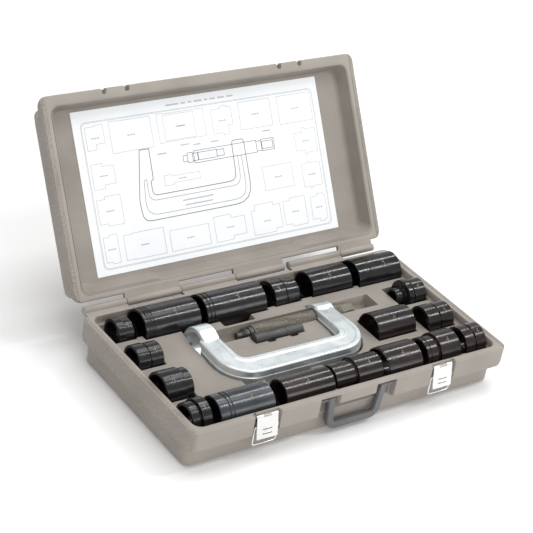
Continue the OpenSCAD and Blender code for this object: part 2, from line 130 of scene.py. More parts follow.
def add_floor():
    """One square face, far wider than the view."""
    reach = 6.0
    mesh = bpy.data.meshes.new("floor")
    corners = [(-reach, -reach, 0), (reach, -reach, 0), (reach, reach, 0), (-reach, reach, 0)]
    mesh.from_pydata(corners, [], [(0, 1, 2, 3)])
    floor = bpy.data.objects.new("floor", mesh)
    scene.collection.objects.link(floor)
    material, shader = new_material("pale_floor")
    shader.inputs["Base Color"].default_value = (0.9, 0.9, 0.9, 1)
    shader.inputs["Roughness"].default_value = 0.9
    shader.inputs["Specular IOR Level"].default_value = 0.1
    mesh.materials.append(material)
    floor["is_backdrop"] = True


def add_lamp(name, place, target, size, power):
    """A rectangular lamp that faces its target."""
    data = bpy.data.lights.new(name, "AREA")
    data.shape = "RECTANGLE"
    data.size, data.size_y = size
    data.energy = power
    lamp = bpy.data.objects.new(name, data)
    scene.collection.objects.link(lamp)
    away = np.array(place, float) - np.array(target, float)
    away = away / np.linalg.norm(away)
    side = np.cross([0, 1, 0.01], away)
    side = side / np.linalg.norm(side)
    turned = np.eye(4)
    turned[:3, 0], turned[:3, 1], turned[:3, 2], turned[:3, 3] = side, np.cross(away, side), away, place
    lamp.matrix_world = turned.T.tolist()


add_floor()
add_lamp("overhead", (0.1, 0.2, 2.6), (0, 0, 0), (2.6, 1.0), 30)
add_lamp("front", (-0.6, -2.6, 1.5), (0, 0, 0.1), (1.6, 1.2), 20)
add_lamp("low_front", (1.5, -2.3, 0.5), (0, -0.05, 0.1), (1.3, 0.5), 8)
add_lamp("streak_low", (1.44, -0.81, 2.0), (0, -0.05, 0.1), (0.9, 0.14), 13)
add_lamp("streak_high", (1.44, 0.89, 1.98), (0, 0.05, 0.1), (0.9, 0.14), 9)
world = bpy.data.worlds.new("studio")
world.use_nodes = True
world.node_tree.nodes["Background"].inputs["Color"].default_value = (1, 1, 1, 1)
world.node_tree.nodes["Background"].inputs["Strength"].default_value = 0.66
scene.world = world

# %% [markdown]
# ## Surfaces as grids
# Every new piece is a grid of points worked out with numpy: rings about an axis, rings about a rounded
# rectangle, or a section carried along a path. These helpers turn such a grid into a mesh, close its seams
# and poles, and make its faces look outwards.

# %% Grid helpers
def grid_shape(points, wrap_rows=False, wrap_columns=False):
    """A grid of points, rows by columns, as vertices and four-sided faces. A wrapped way joins its ends."""
    rows, columns = points.shape[:2]
    i, j = np.meshgrid(
        np.arange(rows if wrap_rows else rows - 1),
        np.arange(columns if wrap_columns else columns - 1),
        indexing="ij",
    )
    i, j = i.ravel(), j.ravel()
    below, beside = (i + 1) % rows, (j + 1) % columns
    faces = np.stack(
        [i * columns + j, below * columns + j, below * columns + beside, i * columns + beside], 1)
    return points.reshape(-1, 3), faces


def outward(shape):
    """Turns a closed shape's faces outwards: the volumes under its faces must sum above zero."""
    points, faces = shape
    a, b, c, d = (points[faces[:, k]] for k in range(4))
    volume = np.einsum("ij,ij->i", a, np.cross(b, c)).sum() + np.einsum("ij,ij->i", a, np.cross(c, d)).sum()
    return (points, faces) if volume > 0 else (points, faces[:, ::-1])


def joined(*shapes):
    """Several shapes as one: vertices in a row, and faces counted on from the vertices before them."""
    starts = np.cumsum([0] + [len(points) for points, _ in shapes[:-1]])
    return (
        np.concatenate([points for points, _ in shapes]),
        np.concatenate([faces + start for (_, faces), start in zip(shapes, starts)]),
    )


def make_piece(name, shapes, materials, body, stands_for=(), slot=None, sharp=40):
    """Builds one object from (shape, material number) pairs in millimetres, and ties it to its CAD body."""
    mesh = bpy.data.meshes.new(name)
    points, faces = joined(*[shape for shape, _ in shapes])
    mesh.from_pydata((points * MM).tolist(), [], faces.tolist())
    paint = np.concatenate([np.full(len(shape[1]), number) for shape, number in shapes])
    mesh.polygons.foreach_set("material_index", paint.astype(np.int32))
    work = bmesh.new()
    work.from_mesh(mesh)
    bmesh.ops.remove_doubles(work, verts=work.verts, dist=1e-6)
    bmesh.ops.dissolve_degenerate(work, edges=work.edges, dist=1e-7)
    work.to_mesh(mesh)
    work.free()
    mesh.polygons.foreach_set("use_smooth", np.ones(len(mesh.polygons), bool))
    mesh.set_sharp_from_angle(angle=math.radians(sharp))
    for material in materials:
        mesh.materials.append(material)
    piece = bpy.data.objects.new(name, mesh)
    scene.collection.objects.link(piece)
    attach(piece, body)
    if stands_for:
        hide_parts(*stands_for)
    print(f"{name}: {len(mesh.polygons)} faces")
    return piece


def soften(corners, cut, closed=True):
    """Swaps each corner for a short curve, the quadratic blend of the points one cut before and after it.

    Two more points stand just outside each curve, so the shading of the flat stretches stays flat.
    """
    corners = np.asarray(corners, float)
    before = np.roll(corners, 1, 0) - corners
    after = np.roll(corners, -1, 0) - corners
    before_length = np.maximum(np.linalg.norm(before, axis=1), 1e-9)[:, None]
    after_length = np.maximum(np.linalg.norm(after, axis=1), 1e-9)[:, None]
    reach = np.minimum(np.broadcast_to(np.reshape(cut, (-1, 1)), before_length.shape),
                       0.42 * np.minimum(before_length, after_length))
    start, end = corners + before / before_length * reach, corners + after / after_length * reach
    t = np.linspace(0, 1, 5)[None, :, None]
    curve = (1 - t) ** 2 * start[:, None] + 2 * t * (1 - t) * corners[:, None] + t**2 * end[:, None]
    lead = corners + before / before_length * reach * 1.15
    trail = corners + after / after_length * reach * 1.15
    every = np.concatenate([lead[:, None], curve, trail[:, None]], 1)
    if closed:
        return every.reshape(-1, corners.shape[1])
    inner = every[1:-1].reshape(-1, corners.shape[1])
    return np.concatenate([corners[:1], inner, corners[-1:]])


def turned(profile, y, z, segments=96, wrap=True):
    """Carries a profile of (x, radius) points round a line along X: y + r cos, z + r sin."""
    angle = np.linspace(0, 2 * math.pi, segments, endpoint=False)
    x, r = np.asarray(profile, float).T
    points = np.stack(np.broadcast_arrays(
        x[:, None], y + r[:, None] * np.cos(angle), z + r[:, None] * np.sin(angle)), -1)
    return outward(grid_shape(points, wrap, True))


def block_shape(low, high):
    """A plain box between two corners, as a ring of four points carried up and closed at both ends."""
    (x0, y0, z0), (x1, y1, z1) = low, high
    ring = np.array([[x0, y0], [x1, y0], [x1, y1], [x0, y1]])
    middle = np.broadcast_to(ring.mean(0), ring.shape)
    rows = [np.column_stack([r, np.full(4, z)]) for r, z in
            ((middle, z0), (ring, z0), (ring, z1), (middle, z1))]
    return outward(grid_shape(np.array(rows), False, True))


def steps_outline(steps, start):
    """The (x, radius) corners of a stepped outside, from [length, radius] steps laid end to end."""
    ends = start + np.concatenate([[0], np.cumsum([length for length, _ in steps])])
    return [(x, step[1]) for k, step in enumerate(steps) for x in ends[k : k + 2]]


print("grid helpers:", [f.__name__ for f in (grid_shape, outward, joined, make_piece, soften, turned)])

# %% [markdown]
# ## Finishes
# The case is warm grey polyethylene with a fine pebble, the press is brightly plated, and the turned steel
# is black oxide: near black, glossy, with faint turning lines. All patterns read Object coordinates,
# which are real metres here, so a grain of a millimetre stays a millimetre on every piece.

# %% Material helpers
def noise(tree, scale, detail=3.0, stretch=(1, 1, 1)):
    """Noise over the object's own metres; the stretch squeezes it along an axis."""
    place = tree.nodes.new("ShaderNodeTexCoord")
    mapping = tree.nodes.new("ShaderNodeMapping")
    mapping.inputs["Scale"].default_value = stretch
    texture = tree.nodes.new("ShaderNodeTexNoise")
    texture.inputs["Scale"].default_value = scale
    texture.inputs["Detail"].default_value = detail
    tree.links.new(place.outputs["Object"], mapping.inputs["Vector"])
    tree.links.new(mapping.outputs["Vector"], texture.inputs["Vector"])
    return texture.outputs["Fac"]


def ramp(tree, factor, low, high, start=0.3, end=0.7):
    """Blends from the low colour to the high colour as the factor goes from start to end."""
    blend = tree.nodes.new("ShaderNodeValToRGB")
    blend.color_ramp.elements[0].position = start
    blend.color_ramp.elements[1].position = end
    blend.color_ramp.elements[0].color = (*low, 1)
    blend.color_ramp.elements[1].color = (*high, 1)
    tree.links.new(factor, blend.inputs["Fac"])
    return blend.outputs["Color"]


def bump(tree, height, distance, strength=1.0, under=None):
    """Turns a height into a bent normal, over an earlier bump if there is one."""
    node = tree.nodes.new("ShaderNodeBump")
    node.inputs["Strength"].default_value = strength
    node.inputs["Distance"].default_value = distance
    tree.links.new(height, node.inputs["Height"])
    if under is not None:
        tree.links.new(under, node.inputs["Normal"])
    return node.outputs["Normal"]


def finish_material(name, low, high, rough, metal=0.0, patches=14.0, grain=None, coat=0.0, specular=0.5):
    """A finish whose colour drifts from low to high in patches, with a varied roughness and a grain.

    The grain is (scale, distance in metres, stretch): noise of that scale pushes the surface in and out.
    """
    material, shader = new_material(name)
    tree = material.node_tree
    tree.links.new(ramp(tree, noise(tree, patches), low, high), shader.inputs["Base Color"])
    worn = ramp(tree, noise(tree, patches * 4), (rough[0],) * 3, (rough[1],) * 3)
    tree.links.new(worn, shader.inputs["Roughness"])
    shader.inputs["Metallic"].default_value = metal
    shader.inputs["Coat Weight"].default_value = coat
    shader.inputs["Specular IOR Level"].default_value = specular
    if grain:
        normal = bump(tree, noise(tree, grain[0], 2.0, grain[2]), grain[1])
        tree.links.new(normal, shader.inputs["Normal"])
    return material


def pebble_sides(material, start, distance):
    """Adds a coarse pebble where the distance from the case's middle plane is past the start, in metres."""
    tree = material.node_tree
    shader = tree.nodes["Principled BSDF"]
    place = tree.nodes.new("ShaderNodeTexCoord")
    split = tree.nodes.new("ShaderNodeSeparateXYZ")
    tree.links.new(place.outputs["Object"], split.inputs["Vector"])
    size = tree.nodes.new("ShaderNodeMath")
    size.operation = "ABSOLUTE"
    tree.links.new(split.outputs["X"], size.inputs[0])
    here = tree.nodes.new("ShaderNodeMapRange")
    here.inputs["From Min"].default_value = start
    here.inputs["From Max"].default_value = start + 0.003
    tree.links.new(size.outputs["Value"], here.inputs["Value"])
    height = tree.nodes.new("ShaderNodeMath")
    height.operation = "MULTIPLY"
    tree.links.new(noise(tree, 330, 2.0), height.inputs[0])
    tree.links.new(here.outputs["Result"], height.inputs[1])
    under = shader.inputs["Normal"].links[0].from_socket
    tree.links.new(bump(tree, height.outputs["Value"], distance, 1.0, under), shader.inputs["Normal"])


# %% The set's finishes
EVEN = (1, 1, 1)
LATHE = (60, 1, 1)
case_plastic = finish_material(
    "case_pebbled_plastic", (0.285, 0.258, 0.228), (0.335, 0.303, 0.268), (0.5, 0.62),
    grain=(900, 0.00022, EVEN), specular=0.35)
pebble_sides(case_plastic, 0.2955, 0.004)
# The dark pebbled panel in the handle recess: the case's own pebble, darkened as painted shade for the shadow in the
# recess.
pebble_with_painted_shade = finish_material(
    "pebble_with_painted_shade", (0.12, 0.11, 0.095), (0.22, 0.2, 0.175), (0.5, 0.65), patches=700,
    grain=(520, 0.0016, EVEN), specular=0.3)
# The tray's own grey, darkened overall as painted shade for the shade in its pockets; the lid's recess skin shares it.
tray_plastic = finish_material(
    "tray_plastic", (0.235, 0.211, 0.185), (0.29, 0.262, 0.231), (0.42, 0.55),
    grain=(1200, 0.00006, EVEN), specular=0.4)
card_paper = finish_material(
    "card_paper", (0.77, 0.79, 0.81), (0.8, 0.82, 0.835), (0.35, 0.45),
    grain=(2500, 0.00001, EVEN), specular=0.4)
print_grey = finish_material("printed_line", (0.38, 0.39, 0.41), (0.48, 0.49, 0.51), (0.5, 0.6))
print_dark = finish_material("printed_dark_line", (0.12, 0.12, 0.13), (0.18, 0.18, 0.19), (0.5, 0.6))
black_oxide = finish_material(
    "black_oxide", (0.004, 0.004, 0.005), (0.012, 0.011, 0.012), (0.13, 0.24),
    grain=(90, 0.000004, LATHE), specular=0.42)
brown_oxide = finish_material(
    "brown_oxide", (0.006, 0.004, 0.004), (0.02, 0.012, 0.011), (0.15, 0.26),
    grain=(90, 0.000004, LATHE), specular=0.42)
blued_steel = finish_material(
    "blued_steel", (0.022, 0.025, 0.029), (0.06, 0.066, 0.074), (0.17, 0.28), metal=0.35,
    grain=(90, 0.000006, LATHE), specular=0.6)
plated_frame = finish_material(
    "plated_frame", (0.6, 0.65, 0.67), (0.75, 0.79, 0.8), (0.26, 0.4), metal=0.7,
    grain=(260, 0.00005, EVEN))
screw_steel = finish_material(
    "screw_steel", (0.06, 0.054, 0.042), (0.26, 0.235, 0.19), (0.35, 0.5), patches=420,
    grain=(700, 0.00005, EVEN))
nose_steel = finish_material(
    "nose_steel", (0.05, 0.05, 0.05), (0.1, 0.1, 0.1), (0.3, 0.45), metal=0.6,
    grain=(90, 0.00004, LATHE))
pin_steel = finish_material(
    "pin_steel", (0.045, 0.045, 0.045), (0.08, 0.08, 0.078), (0.35, 0.5), metal=0.4,
    grain=(90, 0.00004, LATHE))
bright_steel = finish_material(
    "bright_nickel", (0.72, 0.73, 0.72), (0.82, 0.82, 0.81), (0.22, 0.34), metal=0.8,
    grain=(500, 0.000008, EVEN))
handle_plastic = finish_material(
    "handle_plastic", (0.1, 0.102, 0.105), (0.14, 0.143, 0.147), (0.42, 0.55),
    grain=(1400, 0.00005, EVEN), specular=0.45)
mark_gold = finish_material("engraved_mark", (0.2, 0.16, 0.08), (0.3, 0.24, 0.13), (0.4, 0.5))
print("finishes:", len(bpy.data.materials))

# %% [markdown]
# ## Eighteen turned tubes and adapters
# Each real one is a steel ring or cup turned on a lathe, with steps and grooves outside and a bored inside.
# So each is one profile of corners, softened a little and carried round its axis.
# The CAD node gives its left end and its axis, and the steps are lengths and radii in millimetres.

# %% Turned adapters
ADAPTERS = {
    "cup_adapter_1": ([[13, 24], [16, 20.5]], [[14, 19], [15, 12]]),
    "receiving_tube_2": (
        [[5, 31], [2, 30], [3, 31], [2, 30], [3, 31], [2, 30], [85, 31]], [[12, 27], [90, 25]]),
    "receiving_tube_3": ([[5, 31], [2.5, 29.5], [5, 31], [2, 29.8], [100.5, 31]], [[10, 27], [105, 25]]),
    "installing_adapter_4": ([[23, 28], [2, 25], [5, 27], [3, 26], [17, 25]], [[18, 21], [32, 14]]),
    "receiving_tube_5": ([[82, 28]], [[8, 25], [74, 23]]),
    "receiving_tube_6": ([[25, 30.5], [1.5, 29.8], [63.5, 30.5]], [[10, 27], [80, 24.5]]),
    "cup_adapter_7": ([[19, 25], [3, 22], [22, 23.5]], [[16, 20], [28, 13]]),
    "cup_adapter_8": ([[34, 30], [14, 27]], [[22, 25], [26, 17]]),
    "installing_adapter_9": ([[13, 25], [3, 22.5], [16, 28]], [[10, 20], [22, 14]]),
    "receiving_tube_10": ([[15, 28.5], [3, 27], [4, 28.5], [2, 27.4], [73, 28.5]], [[12, 25], [85, 22.5]]),
    "receiving_tube_11": ([[91, 25]], [[8, 21.5], [83, 20]]),
    "installing_adapter_12": ([[40, 22], [5, 26.5], [44, 26]], [[60, 17], [29, 20]]),
    "receiving_tube_13": ([[2, 30], [66, 31]], [[10, 27.5], [58, 25]]),
    "installing_adapter_14": ([[6, 27], [2, 26], [14, 27], [4, 25], [40, 30]], [[20, 22], [46, 16]]),
    "installing_adapter_15": ([[19, 28], [3, 25.5], [20, 28]], [[14, 22], [28, 15]]),
    "pilot_adapter_16": ([[18, 15], [10, 26], [3, 22], [24, 24]], [[30, 11], [25, 14]]),
    "receiving_tube_17": ([[76, 29]], [[14, 26.5], [62, 24]]),
    "cup_adapter_18": ([[24, 27], [3, 24], [26, 26]], [[20, 22.5], [33, 15]]),
}
OXIDE = {name: brown_oxide for name in (
    "installing_adapter_12", "receiving_tube_13", "installing_adapter_14", "installing_adapter_15",
    "receiving_tube_11", "receiving_tube_17", "cup_adapter_18")}
OXIDE["receiving_tube_10"] = blued_steel


def engraved_tick(x, y, z, r, turn, length=10.0, width=0.8):
    """A short line round the tube at x and a shorter one beside it: a skin just proud of the radius."""
    def strip(centre, wide, angle0, angle1):
        angle = np.linspace(angle0, angle1, 9)
        rows = []
        for place, radius in ((-wide, r - 0.2), (-wide, r + 0.03), (wide, r + 0.03), (wide, r - 0.2)):
            rows.append(np.stack([
                np.full(9, centre + place), y + radius * np.cos(angle), z + radius * np.sin(angle)], -1))
        return outward(grid_shape(np.array(rows), True, False))
    half = length / r / 2
    return joined(strip(x, width / 2, turn - half, turn + half),
                  strip(x - 2.6, 1.4, turn - 0.016, turn + 0.016))


for number, (name, (outer, bore)) in enumerate(ADAPTERS.items()):
    low, high = (np.array(corner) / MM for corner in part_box(name))
    y, z = (low[1:] + high[1:]) / 2
    corners = steps_outline(outer, low[0]) + steps_outline(bore, low[0])[::-1]
    shape = turned(soften(corners, 0.9), y, z)
    longest = max(range(len(outer)), key=lambda k: outer[k][0])
    tick_x = low[0] + sum(step[0] for step in outer[:longest]) + outer[longest][0] * 0.5
    tick = engraved_tick(tick_x, y, z, outer[longest][1], math.radians(117 - number % 3))
    slot = "blued_steel" if name == "receiving_tube_10" else "black_oxide_steel"
    make_piece(name + "_turned", [(shape, 0), (tick, 1)], [OXIDE.get(name, black_oxide), mark_gold],
               name + "_body", [name], slot)

# %% [markdown]
# ## The press
# The C-frame is a drop forging: one bar of nearly constant section, bent round two corners, with a ring at
# one end and a threaded boss at the other. A section with sloping sides is carried along the bend,
# and its half width changes on the way. The ring and the boss are turned shapes that the bar runs into.

# %% C-frame
frame_low, frame_high = (np.array(corner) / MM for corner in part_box("c_frame"))
screw_low, screw_high = (np.array(corner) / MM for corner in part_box("forcing_screw"))
PRESS_Y, PRESS_Z = (screw_low[1:] + screw_high[1:]) / 2
RING_X = (frame_low[0] + 7, frame_low[0] + 38)
BOSS_X = (frame_high[0] - 33, frame_high[0])
RING_R, RING_BORE, BOSS_R, SCREW_R = 33, 24, 23, 14.3
ARM_LEFT, ARM_RIGHT, SPINE_Y = frame_low[0] + 20.5, frame_high[0] - 19.5, frame_low[1] + 22.5


def rounded_path(corners, radius, spacing=4.0):
    """Straight runs joined by quarter circles of one radius, as evenly spaced points in the plane."""
    corners = np.asarray(corners, float)
    pieces = [corners[:1]]
    for before, corner, after in zip(corners, corners[1:], corners[2:]):
        back = (before - corner) / np.linalg.norm(before - corner)
        on = (after - corner) / np.linalg.norm(after - corner)
        turn = np.linspace(0, math.pi / 2, 25)[:, None]
        centre = corner + (back + on) * radius
        pieces.append(centre - on * radius * np.cos(turn) - back * radius * np.sin(turn))
    pieces.append(corners[-1:])
    points = np.concatenate(pieces)
    run = np.concatenate([[0], np.cumsum(np.linalg.norm(np.diff(points, axis=0), axis=1))])
    even = np.linspace(0, run[-1], int(run[-1] / spacing) + 1)
    return np.stack([np.interp(even, run, points[:, k]) for k in range(2)], 1), even / run[-1]


def bar_run():
    """The C's path, the share of its length at each point, and the bar's half width there."""
    corners = [(ARM_LEFT, 60), (ARM_LEFT, SPINE_Y), (ARM_RIGHT, SPINE_Y), (ARM_RIGHT, 60)]
    path, share = rounded_path(corners, 34)
    return path, share, np.interp(share, [0, 0.12, 0.3, 0.7, 0.88, 1], [18.5, 20, 22, 21.5, 18.5, 17])


def forged_section():
    """Half a forged bar's outline, mirrored: a shallow channel on top, a bevel, a ledge on the side."""
    top = [(0, 22.7), (0.42, 22.7), (0.5, 24), (0.82, 24), (0.9, 22.2), (0.925, 13), (0.985, 11.4),
           (1.0, 0)]
    right = top + [(u, -z) for u, z in reversed(top[:-1])]
    left = [(-u, -z) for u, z in right]
    return soften(np.array(right[:-1] + left[:-1]) * [20, 1], 1.6) / [20, 1]


def c_bar():
    """Carries the section along the C: across the path by the half width, and straight up by the height.

    Both ends are drawn back to a circle inside the wall of the ring or the boss, so the bores stay open.
    """
    path, share, half = bar_run()
    along = np.gradient(path, axis=0)
    along = along / np.linalg.norm(along, axis=1)[:, None]
    across = np.stack([along[:, 1], -along[:, 0]], 1)
    section = forged_section()
    flat = path[:, None] + across[:, None] * half[:, None, None] * section[None, :, :1]
    height = section[None, :, 1] * np.interp(share, [0, 0.86, 1], [1, 1, 0.84])[:, None]
    points = np.concatenate([flat, (height + PRESS_Z)[..., None]], -1)
    wall = np.where(points[..., 0] < 0, (RING_R + RING_BORE) / 2, (BOSS_R + SCREW_R) / 2)
    reach = PRESS_Y - np.sqrt(np.maximum(wall**2 - height**2, 0))
    points[..., 1] = np.minimum(points[..., 1], reach)
    middle = np.broadcast_to(points.mean(1, keepdims=True), points.shape)
    return outward(grid_shape(np.concatenate([middle[:1], points, middle[-1:]]), False, True))


def ring(x0, x1, outer, inner, cut):
    """A plain ring along X with its four edges rounded by the cut."""
    return turned(soften([(x0, outer), (x1, outer), (x1, inner), (x0, inner)], cut), PRESS_Y, PRESS_Z, 128)


make_piece("c_frame_forging", [
    (c_bar(), 0),
    (ring(*RING_X, RING_R, RING_BORE, 3.5), 0),
    (ring(*BOSS_X, BOSS_R, SCREW_R + 0.1, 5.0), 0),
], [plated_frame], "press", ["c_frame"], "plated_frame", 50)

# %% Forcing screw, nose and driver pin
THREAD_X = (screw_low[0], screw_high[0] - 23)
PITCH = 2.0


def threaded_rod(x0, x1, radius, pitch, depth):
    """Radius less depth times a triangle wave of (x / pitch - angle / turn), faded out at both ends."""
    rows = int((x1 - x0) / pitch * 6)
    x = np.linspace(x0, x1, rows)[:, None]
    angle = np.linspace(0, 2 * math.pi, 48, endpoint=False)[None]
    wave = np.abs(((x / pitch - angle / (2 * math.pi)) % 1) * 2 - 1)
    fade = np.clip(np.minimum(x - x0, x1 - x) / 3, 0, 1)
    r = radius - depth * wave * fade - 1.5 * (1 - fade)
    points = np.stack(np.broadcast_arrays(x, PRESS_Y + r * np.cos(angle), PRESS_Z + r * np.sin(angle)), -1)
    middle = points * [1, 0, 0] + [0, PRESS_Y, PRESS_Z]
    return outward(grid_shape(np.concatenate([middle[:1], points, middle[-1:]]), False, True))


def hexagon_head(x0, x1, across_flats, chamfer=2.0):
    """Six flats: the radius is half the flats' distance over the cosine to the nearest flat."""
    angle = np.linspace(0, 2 * math.pi, 96, endpoint=False)
    flat = across_flats / 2 / np.cos((angle + math.pi / 6) % (math.pi / 3) - math.pi / 6)
    limit = across_flats / 2 / math.cos(math.pi / 6)
    rows = [(x0, 0), (x0, 0.8), (x0 + 0.3, 0.9), (x0 + chamfer, 1), (x1 - chamfer, 1), (x1 - 0.3, 0.9),
            (x1, 0.86), (x1, 0)]
    x = np.array([row[0] for row in rows])[:, None]
    r = np.minimum(flat[None], limit * np.array([row[1] for row in rows])[:, None])
    points = np.stack(np.broadcast_arrays(x, PRESS_Y + r * np.cos(angle), PRESS_Z + r * np.sin(angle)), -1)
    return outward(grid_shape(points, False, True))


make_piece("forcing_screw_threaded", [
    (threaded_rod(*THREAD_X, SCREW_R, PITCH, 0.95), 0),
    (hexagon_head(THREAD_X[1] - 2, screw_high[0], 22.2), 0),
], [screw_steel], "screw", ["forcing_screw"], "screw_steel", 60)

nose_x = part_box("screw_nose")[0][0] / MM
nose_profile = soften([
    (nose_x, 0.01), (nose_x, 6.5), (nose_x + 9, 6.5), (nose_x + 9, 8), (nose_x + 12, 8), (nose_x + 12, 10),
    (nose_x + 14.1, 10), (nose_x + 14.1, 8), (nose_x + 15.9, 8), (nose_x + 15.9, 10), (nose_x + 22, 10),
    (nose_x + 22, 11.5), (nose_x + 29.5, 11.5), (nose_x + 29.5, 6), (nose_x + 42, 6), (nose_x + 42, 0.01),
], 0.6, False)
make_piece("screw_nose_turned", [(turned(nose_profile, PRESS_Y, PRESS_Z, 64, False), 0)], [nose_steel],
           "nose", ["screw_nose"], "nose_steel")

pin_low, pin_high = (np.array(corner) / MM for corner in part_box("stepped_driver_pin"))
pin_y, pin_z = (pin_low[1:] + pin_high[1:]) / 2
pin_outline = steps_outline([[26, 9], [34, 7.5], [33, 8.2]], pin_low[0])
pin_profile = soften([(pin_low[0], 0.01)] + pin_outline + [(pin_high[0], 0.01)], 1.2, False)
make_piece("driver_pin_turned", [(turned(pin_profile, pin_y, pin_z, 64, False), 0)], [pin_steel],
           "driver_pin", ["stepped_driver_pin"], "pin_steel")

# %% [markdown]
# ## Case
# Base and lid are blow-moulded: two skins of one sheet, with round edges and draft everywhere.
# Each is a stack of rounded rectangles, from the middle of one skin out over the rim and back to the middle
# of the other. The recesses for the latches and the handle are pushed into the front of that stack.

# %% Rounded rectangles
HALF_W, FRONT, REAR, BASE_H = 305.0, -162.0, 162.0, 76.0
LATCH_X, LATCH_HALF, LATCH_DEEP = 170.0, 23.0, 8.0
HANDLE_HALF, HANDLE_DEEP = 72.0, 11.0
HINGE_Y, LID_TURN = 175.0, math.radians(121.7)
SHORT_EASE = np.array([0, 0.4, 0.8, 1.2])
LONG_EASE = np.array([0, 0.4, 0.8, 1.2, 1.8])
FRONT_X = np.unique(np.round(np.concatenate([
    np.linspace(-290, 290, 117),
    *[side * (LATCH_X + edge * (half + ease)) for side in (-1, 1) for edge in (-1, 1)
      for half, ease in ((LATCH_HALF, LONG_EASE), (26, SHORT_EASE), (16, SHORT_EASE))],
    *[side * (half + LONG_EASE) for side in (-1, 1) for half in (40, HANDLE_HALF)],
]), 2))
SHARES = np.concatenate([
    (FRONT_X + 292.5) / 585,
    1 + np.linspace(0.08, 0.92, 12),
    2 + np.linspace(0, 1, 40),
    3 + np.linspace(0.08, 0.92, 12),
    4 + np.linspace(0, 1, 60),
    5 + np.linspace(0.08, 0.92, 12),
    6 + np.linspace(0, 1, 40),
    7 + np.linspace(0.08, 0.92, 12),
])


def stack(levels):
    """Rounded rectangles as a grid: each level is (half width, front, rear, corner radius, height).

    A share from 0 to 8 names a point: the whole number is the side or corner, the rest is the way along it.
    """
    half, front, rear, radius, height = np.asarray(levels, float).T[:, :, None]
    radius = np.minimum(radius, np.minimum(half, (rear - front) / 2) * 0.98)
    part, way = np.floor(SHARES)[None], (SHARES % 1)[None]
    angle = (way + (part - 1) / 2 - 1) * math.pi / 2
    round_x, round_y = radius * np.cos(angle), radius * np.sin(angle)
    run_x, run_y = way * 2 * (half - radius), way * (rear - front - 2 * radius)
    xs = [-half + radius + run_x, half - radius + round_x, half + 0 * way, half - radius + round_x,
          half - radius - run_x, -half + radius + round_x, -half + 0 * way, -half + radius + round_x]
    ys = [front + 0 * way, front + radius + round_y, front + radius + run_y, rear - radius + round_y,
          rear + 0 * way, rear - radius + round_y, rear - radius - run_y, front + radius + round_y]
    which = [part == k for k in range(8)]
    which = [np.broadcast_to(w, (len(levels), len(SHARES))) for w in which]
    x = np.select(which, [np.broadcast_to(v, which[0].shape) for v in xs])
    y = np.select(which, [np.broadcast_to(v, which[0].shape) for v in ys])
    return np.stack([x, y, np.broadcast_to(height, x.shape)], -1)


def bent_edge(inset0, z0, inset1, z1, steps=6):
    """A quarter ellipse from one inset and height to another: it leaves the first along the inset."""
    t = np.linspace(0, math.pi / 2, steps)
    return [(inset0 + (inset1 - inset0) * math.sin(a), z0 + (z1 - z0) * (1 - math.cos(a))) for a in t]


def inside(value, edge, ease=1.2):
    """1 within the edge, 0 past the edge and its ease, and a straight ramp between."""
    return np.clip((edge + ease - value) / ease, 0, 1)


print("front stations:", len(FRONT_X), "points round:", len(SHARES))

# %% Base
SIDE_IN, FRONT_IN, REAR_IN = 6.0, 14.0, 6.0
BAND_Z, TRAY_Z = 39.0, 63.0
BASE_INNER_ROWS, LID_INNER_ROWS = 10, 9


def base_levels():
    """From the middle of the underside up the outer skin, over the rim, down the inner skin to the middle."""
    levels = [(1, -1, 1, 0.5, 0.3), (200, -100, 100, 20, 0.3)]
    for inset, z in bent_edge(14, 0.0, 2.5, 11, 8):
        levels.append((HALF_W - SIDE_IN - inset, FRONT + FRONT_IN + inset, REAR - REAR_IN - inset,
                       22 - inset / 2, z))
    for z in (20, 25, 30, 36):
        inset = 2.5 * (36 - z) / 25
        levels.append((HALF_W - SIDE_IN - inset, FRONT + FRONT_IN + inset, REAR - REAR_IN - inset, 20, z))
    for share, z in ((1, 37.5), (0.93, 38.2), (0.75, 38.8), (0.3, 39.2), (0.1, 40), (0.03, 41.2), (0, 43)):
        levels.append((HALF_W - SIDE_IN * share, FRONT + FRONT_IN * share, REAR - REAR_IN * share, 16, z))
    for z in (48, 52, 54.5, 56, 57.2, 62, 66, 69, 71, 72.4, 73, 73.8):
        levels.append((HALF_W, FRONT, REAR, 14, z))
    for inset, z in bent_edge(0, 74.2, 1.8, BASE_H, 5):
        levels.append((HALF_W - inset, FRONT + inset, REAR - inset, 13, z))
    rim = [(4, 4, 3.4, BASE_H), (13, 10, 4.6, BASE_H), (14.3, 11.3, 5.4, 75.6), (15, 12, 6, 74.6),
           (15.2, 12.2, 6.1, 68), (15.4, 12.4, 6.2, 60)]
    for side, front, rear, z in rim:
        levels.append((HALF_W - side, FRONT + front, REAR - rear, 15, z))
    for z in (59, 20, 4):
        levels.append((HALF_W - 9, FRONT + 17, REAR - 9, 12, z))
    return levels + [(200, -100, 100, 20, 2.5), (1, -1, 1, 0.5, 2.5)]


def push_front(points, outer_rows):
    """Moves the outer skin's front back to the floor of each recess it covers."""
    skin = points[:outer_rows]
    x, y, z = skin[..., 0], skin[..., 1], skin[..., 2]
    latch = inside(np.abs(np.abs(x) - LATCH_X), LATCH_HALF) * inside(BAND_Z - z, 0.2)
    slots = inside(np.abs(np.abs(x) - 56), 16) * inside(z, 72.4, 0.8) * inside(BAND_Z - z, 0.2)
    grip = inside(np.abs(x), HANDLE_HALF) * inside(z, 56, 1.2) * inside(BAND_Z - z, 0.2)
    floor = FRONT + np.maximum(LATCH_DEEP * latch, HANDLE_DEEP * np.maximum(slots, grip))
    flare = inside(np.abs(x), HANDLE_HALF + (56 - z) * 0.35, 2) * inside(25 - z, 0, 1.2) * inside(z, 39, 1)
    floor = np.maximum(floor, FRONT + FRONT_IN + 1.3 * flare - 100 * (flare == 0))
    skin[..., 1] = np.where(y < 0, np.maximum(y, floor), y)
    return points


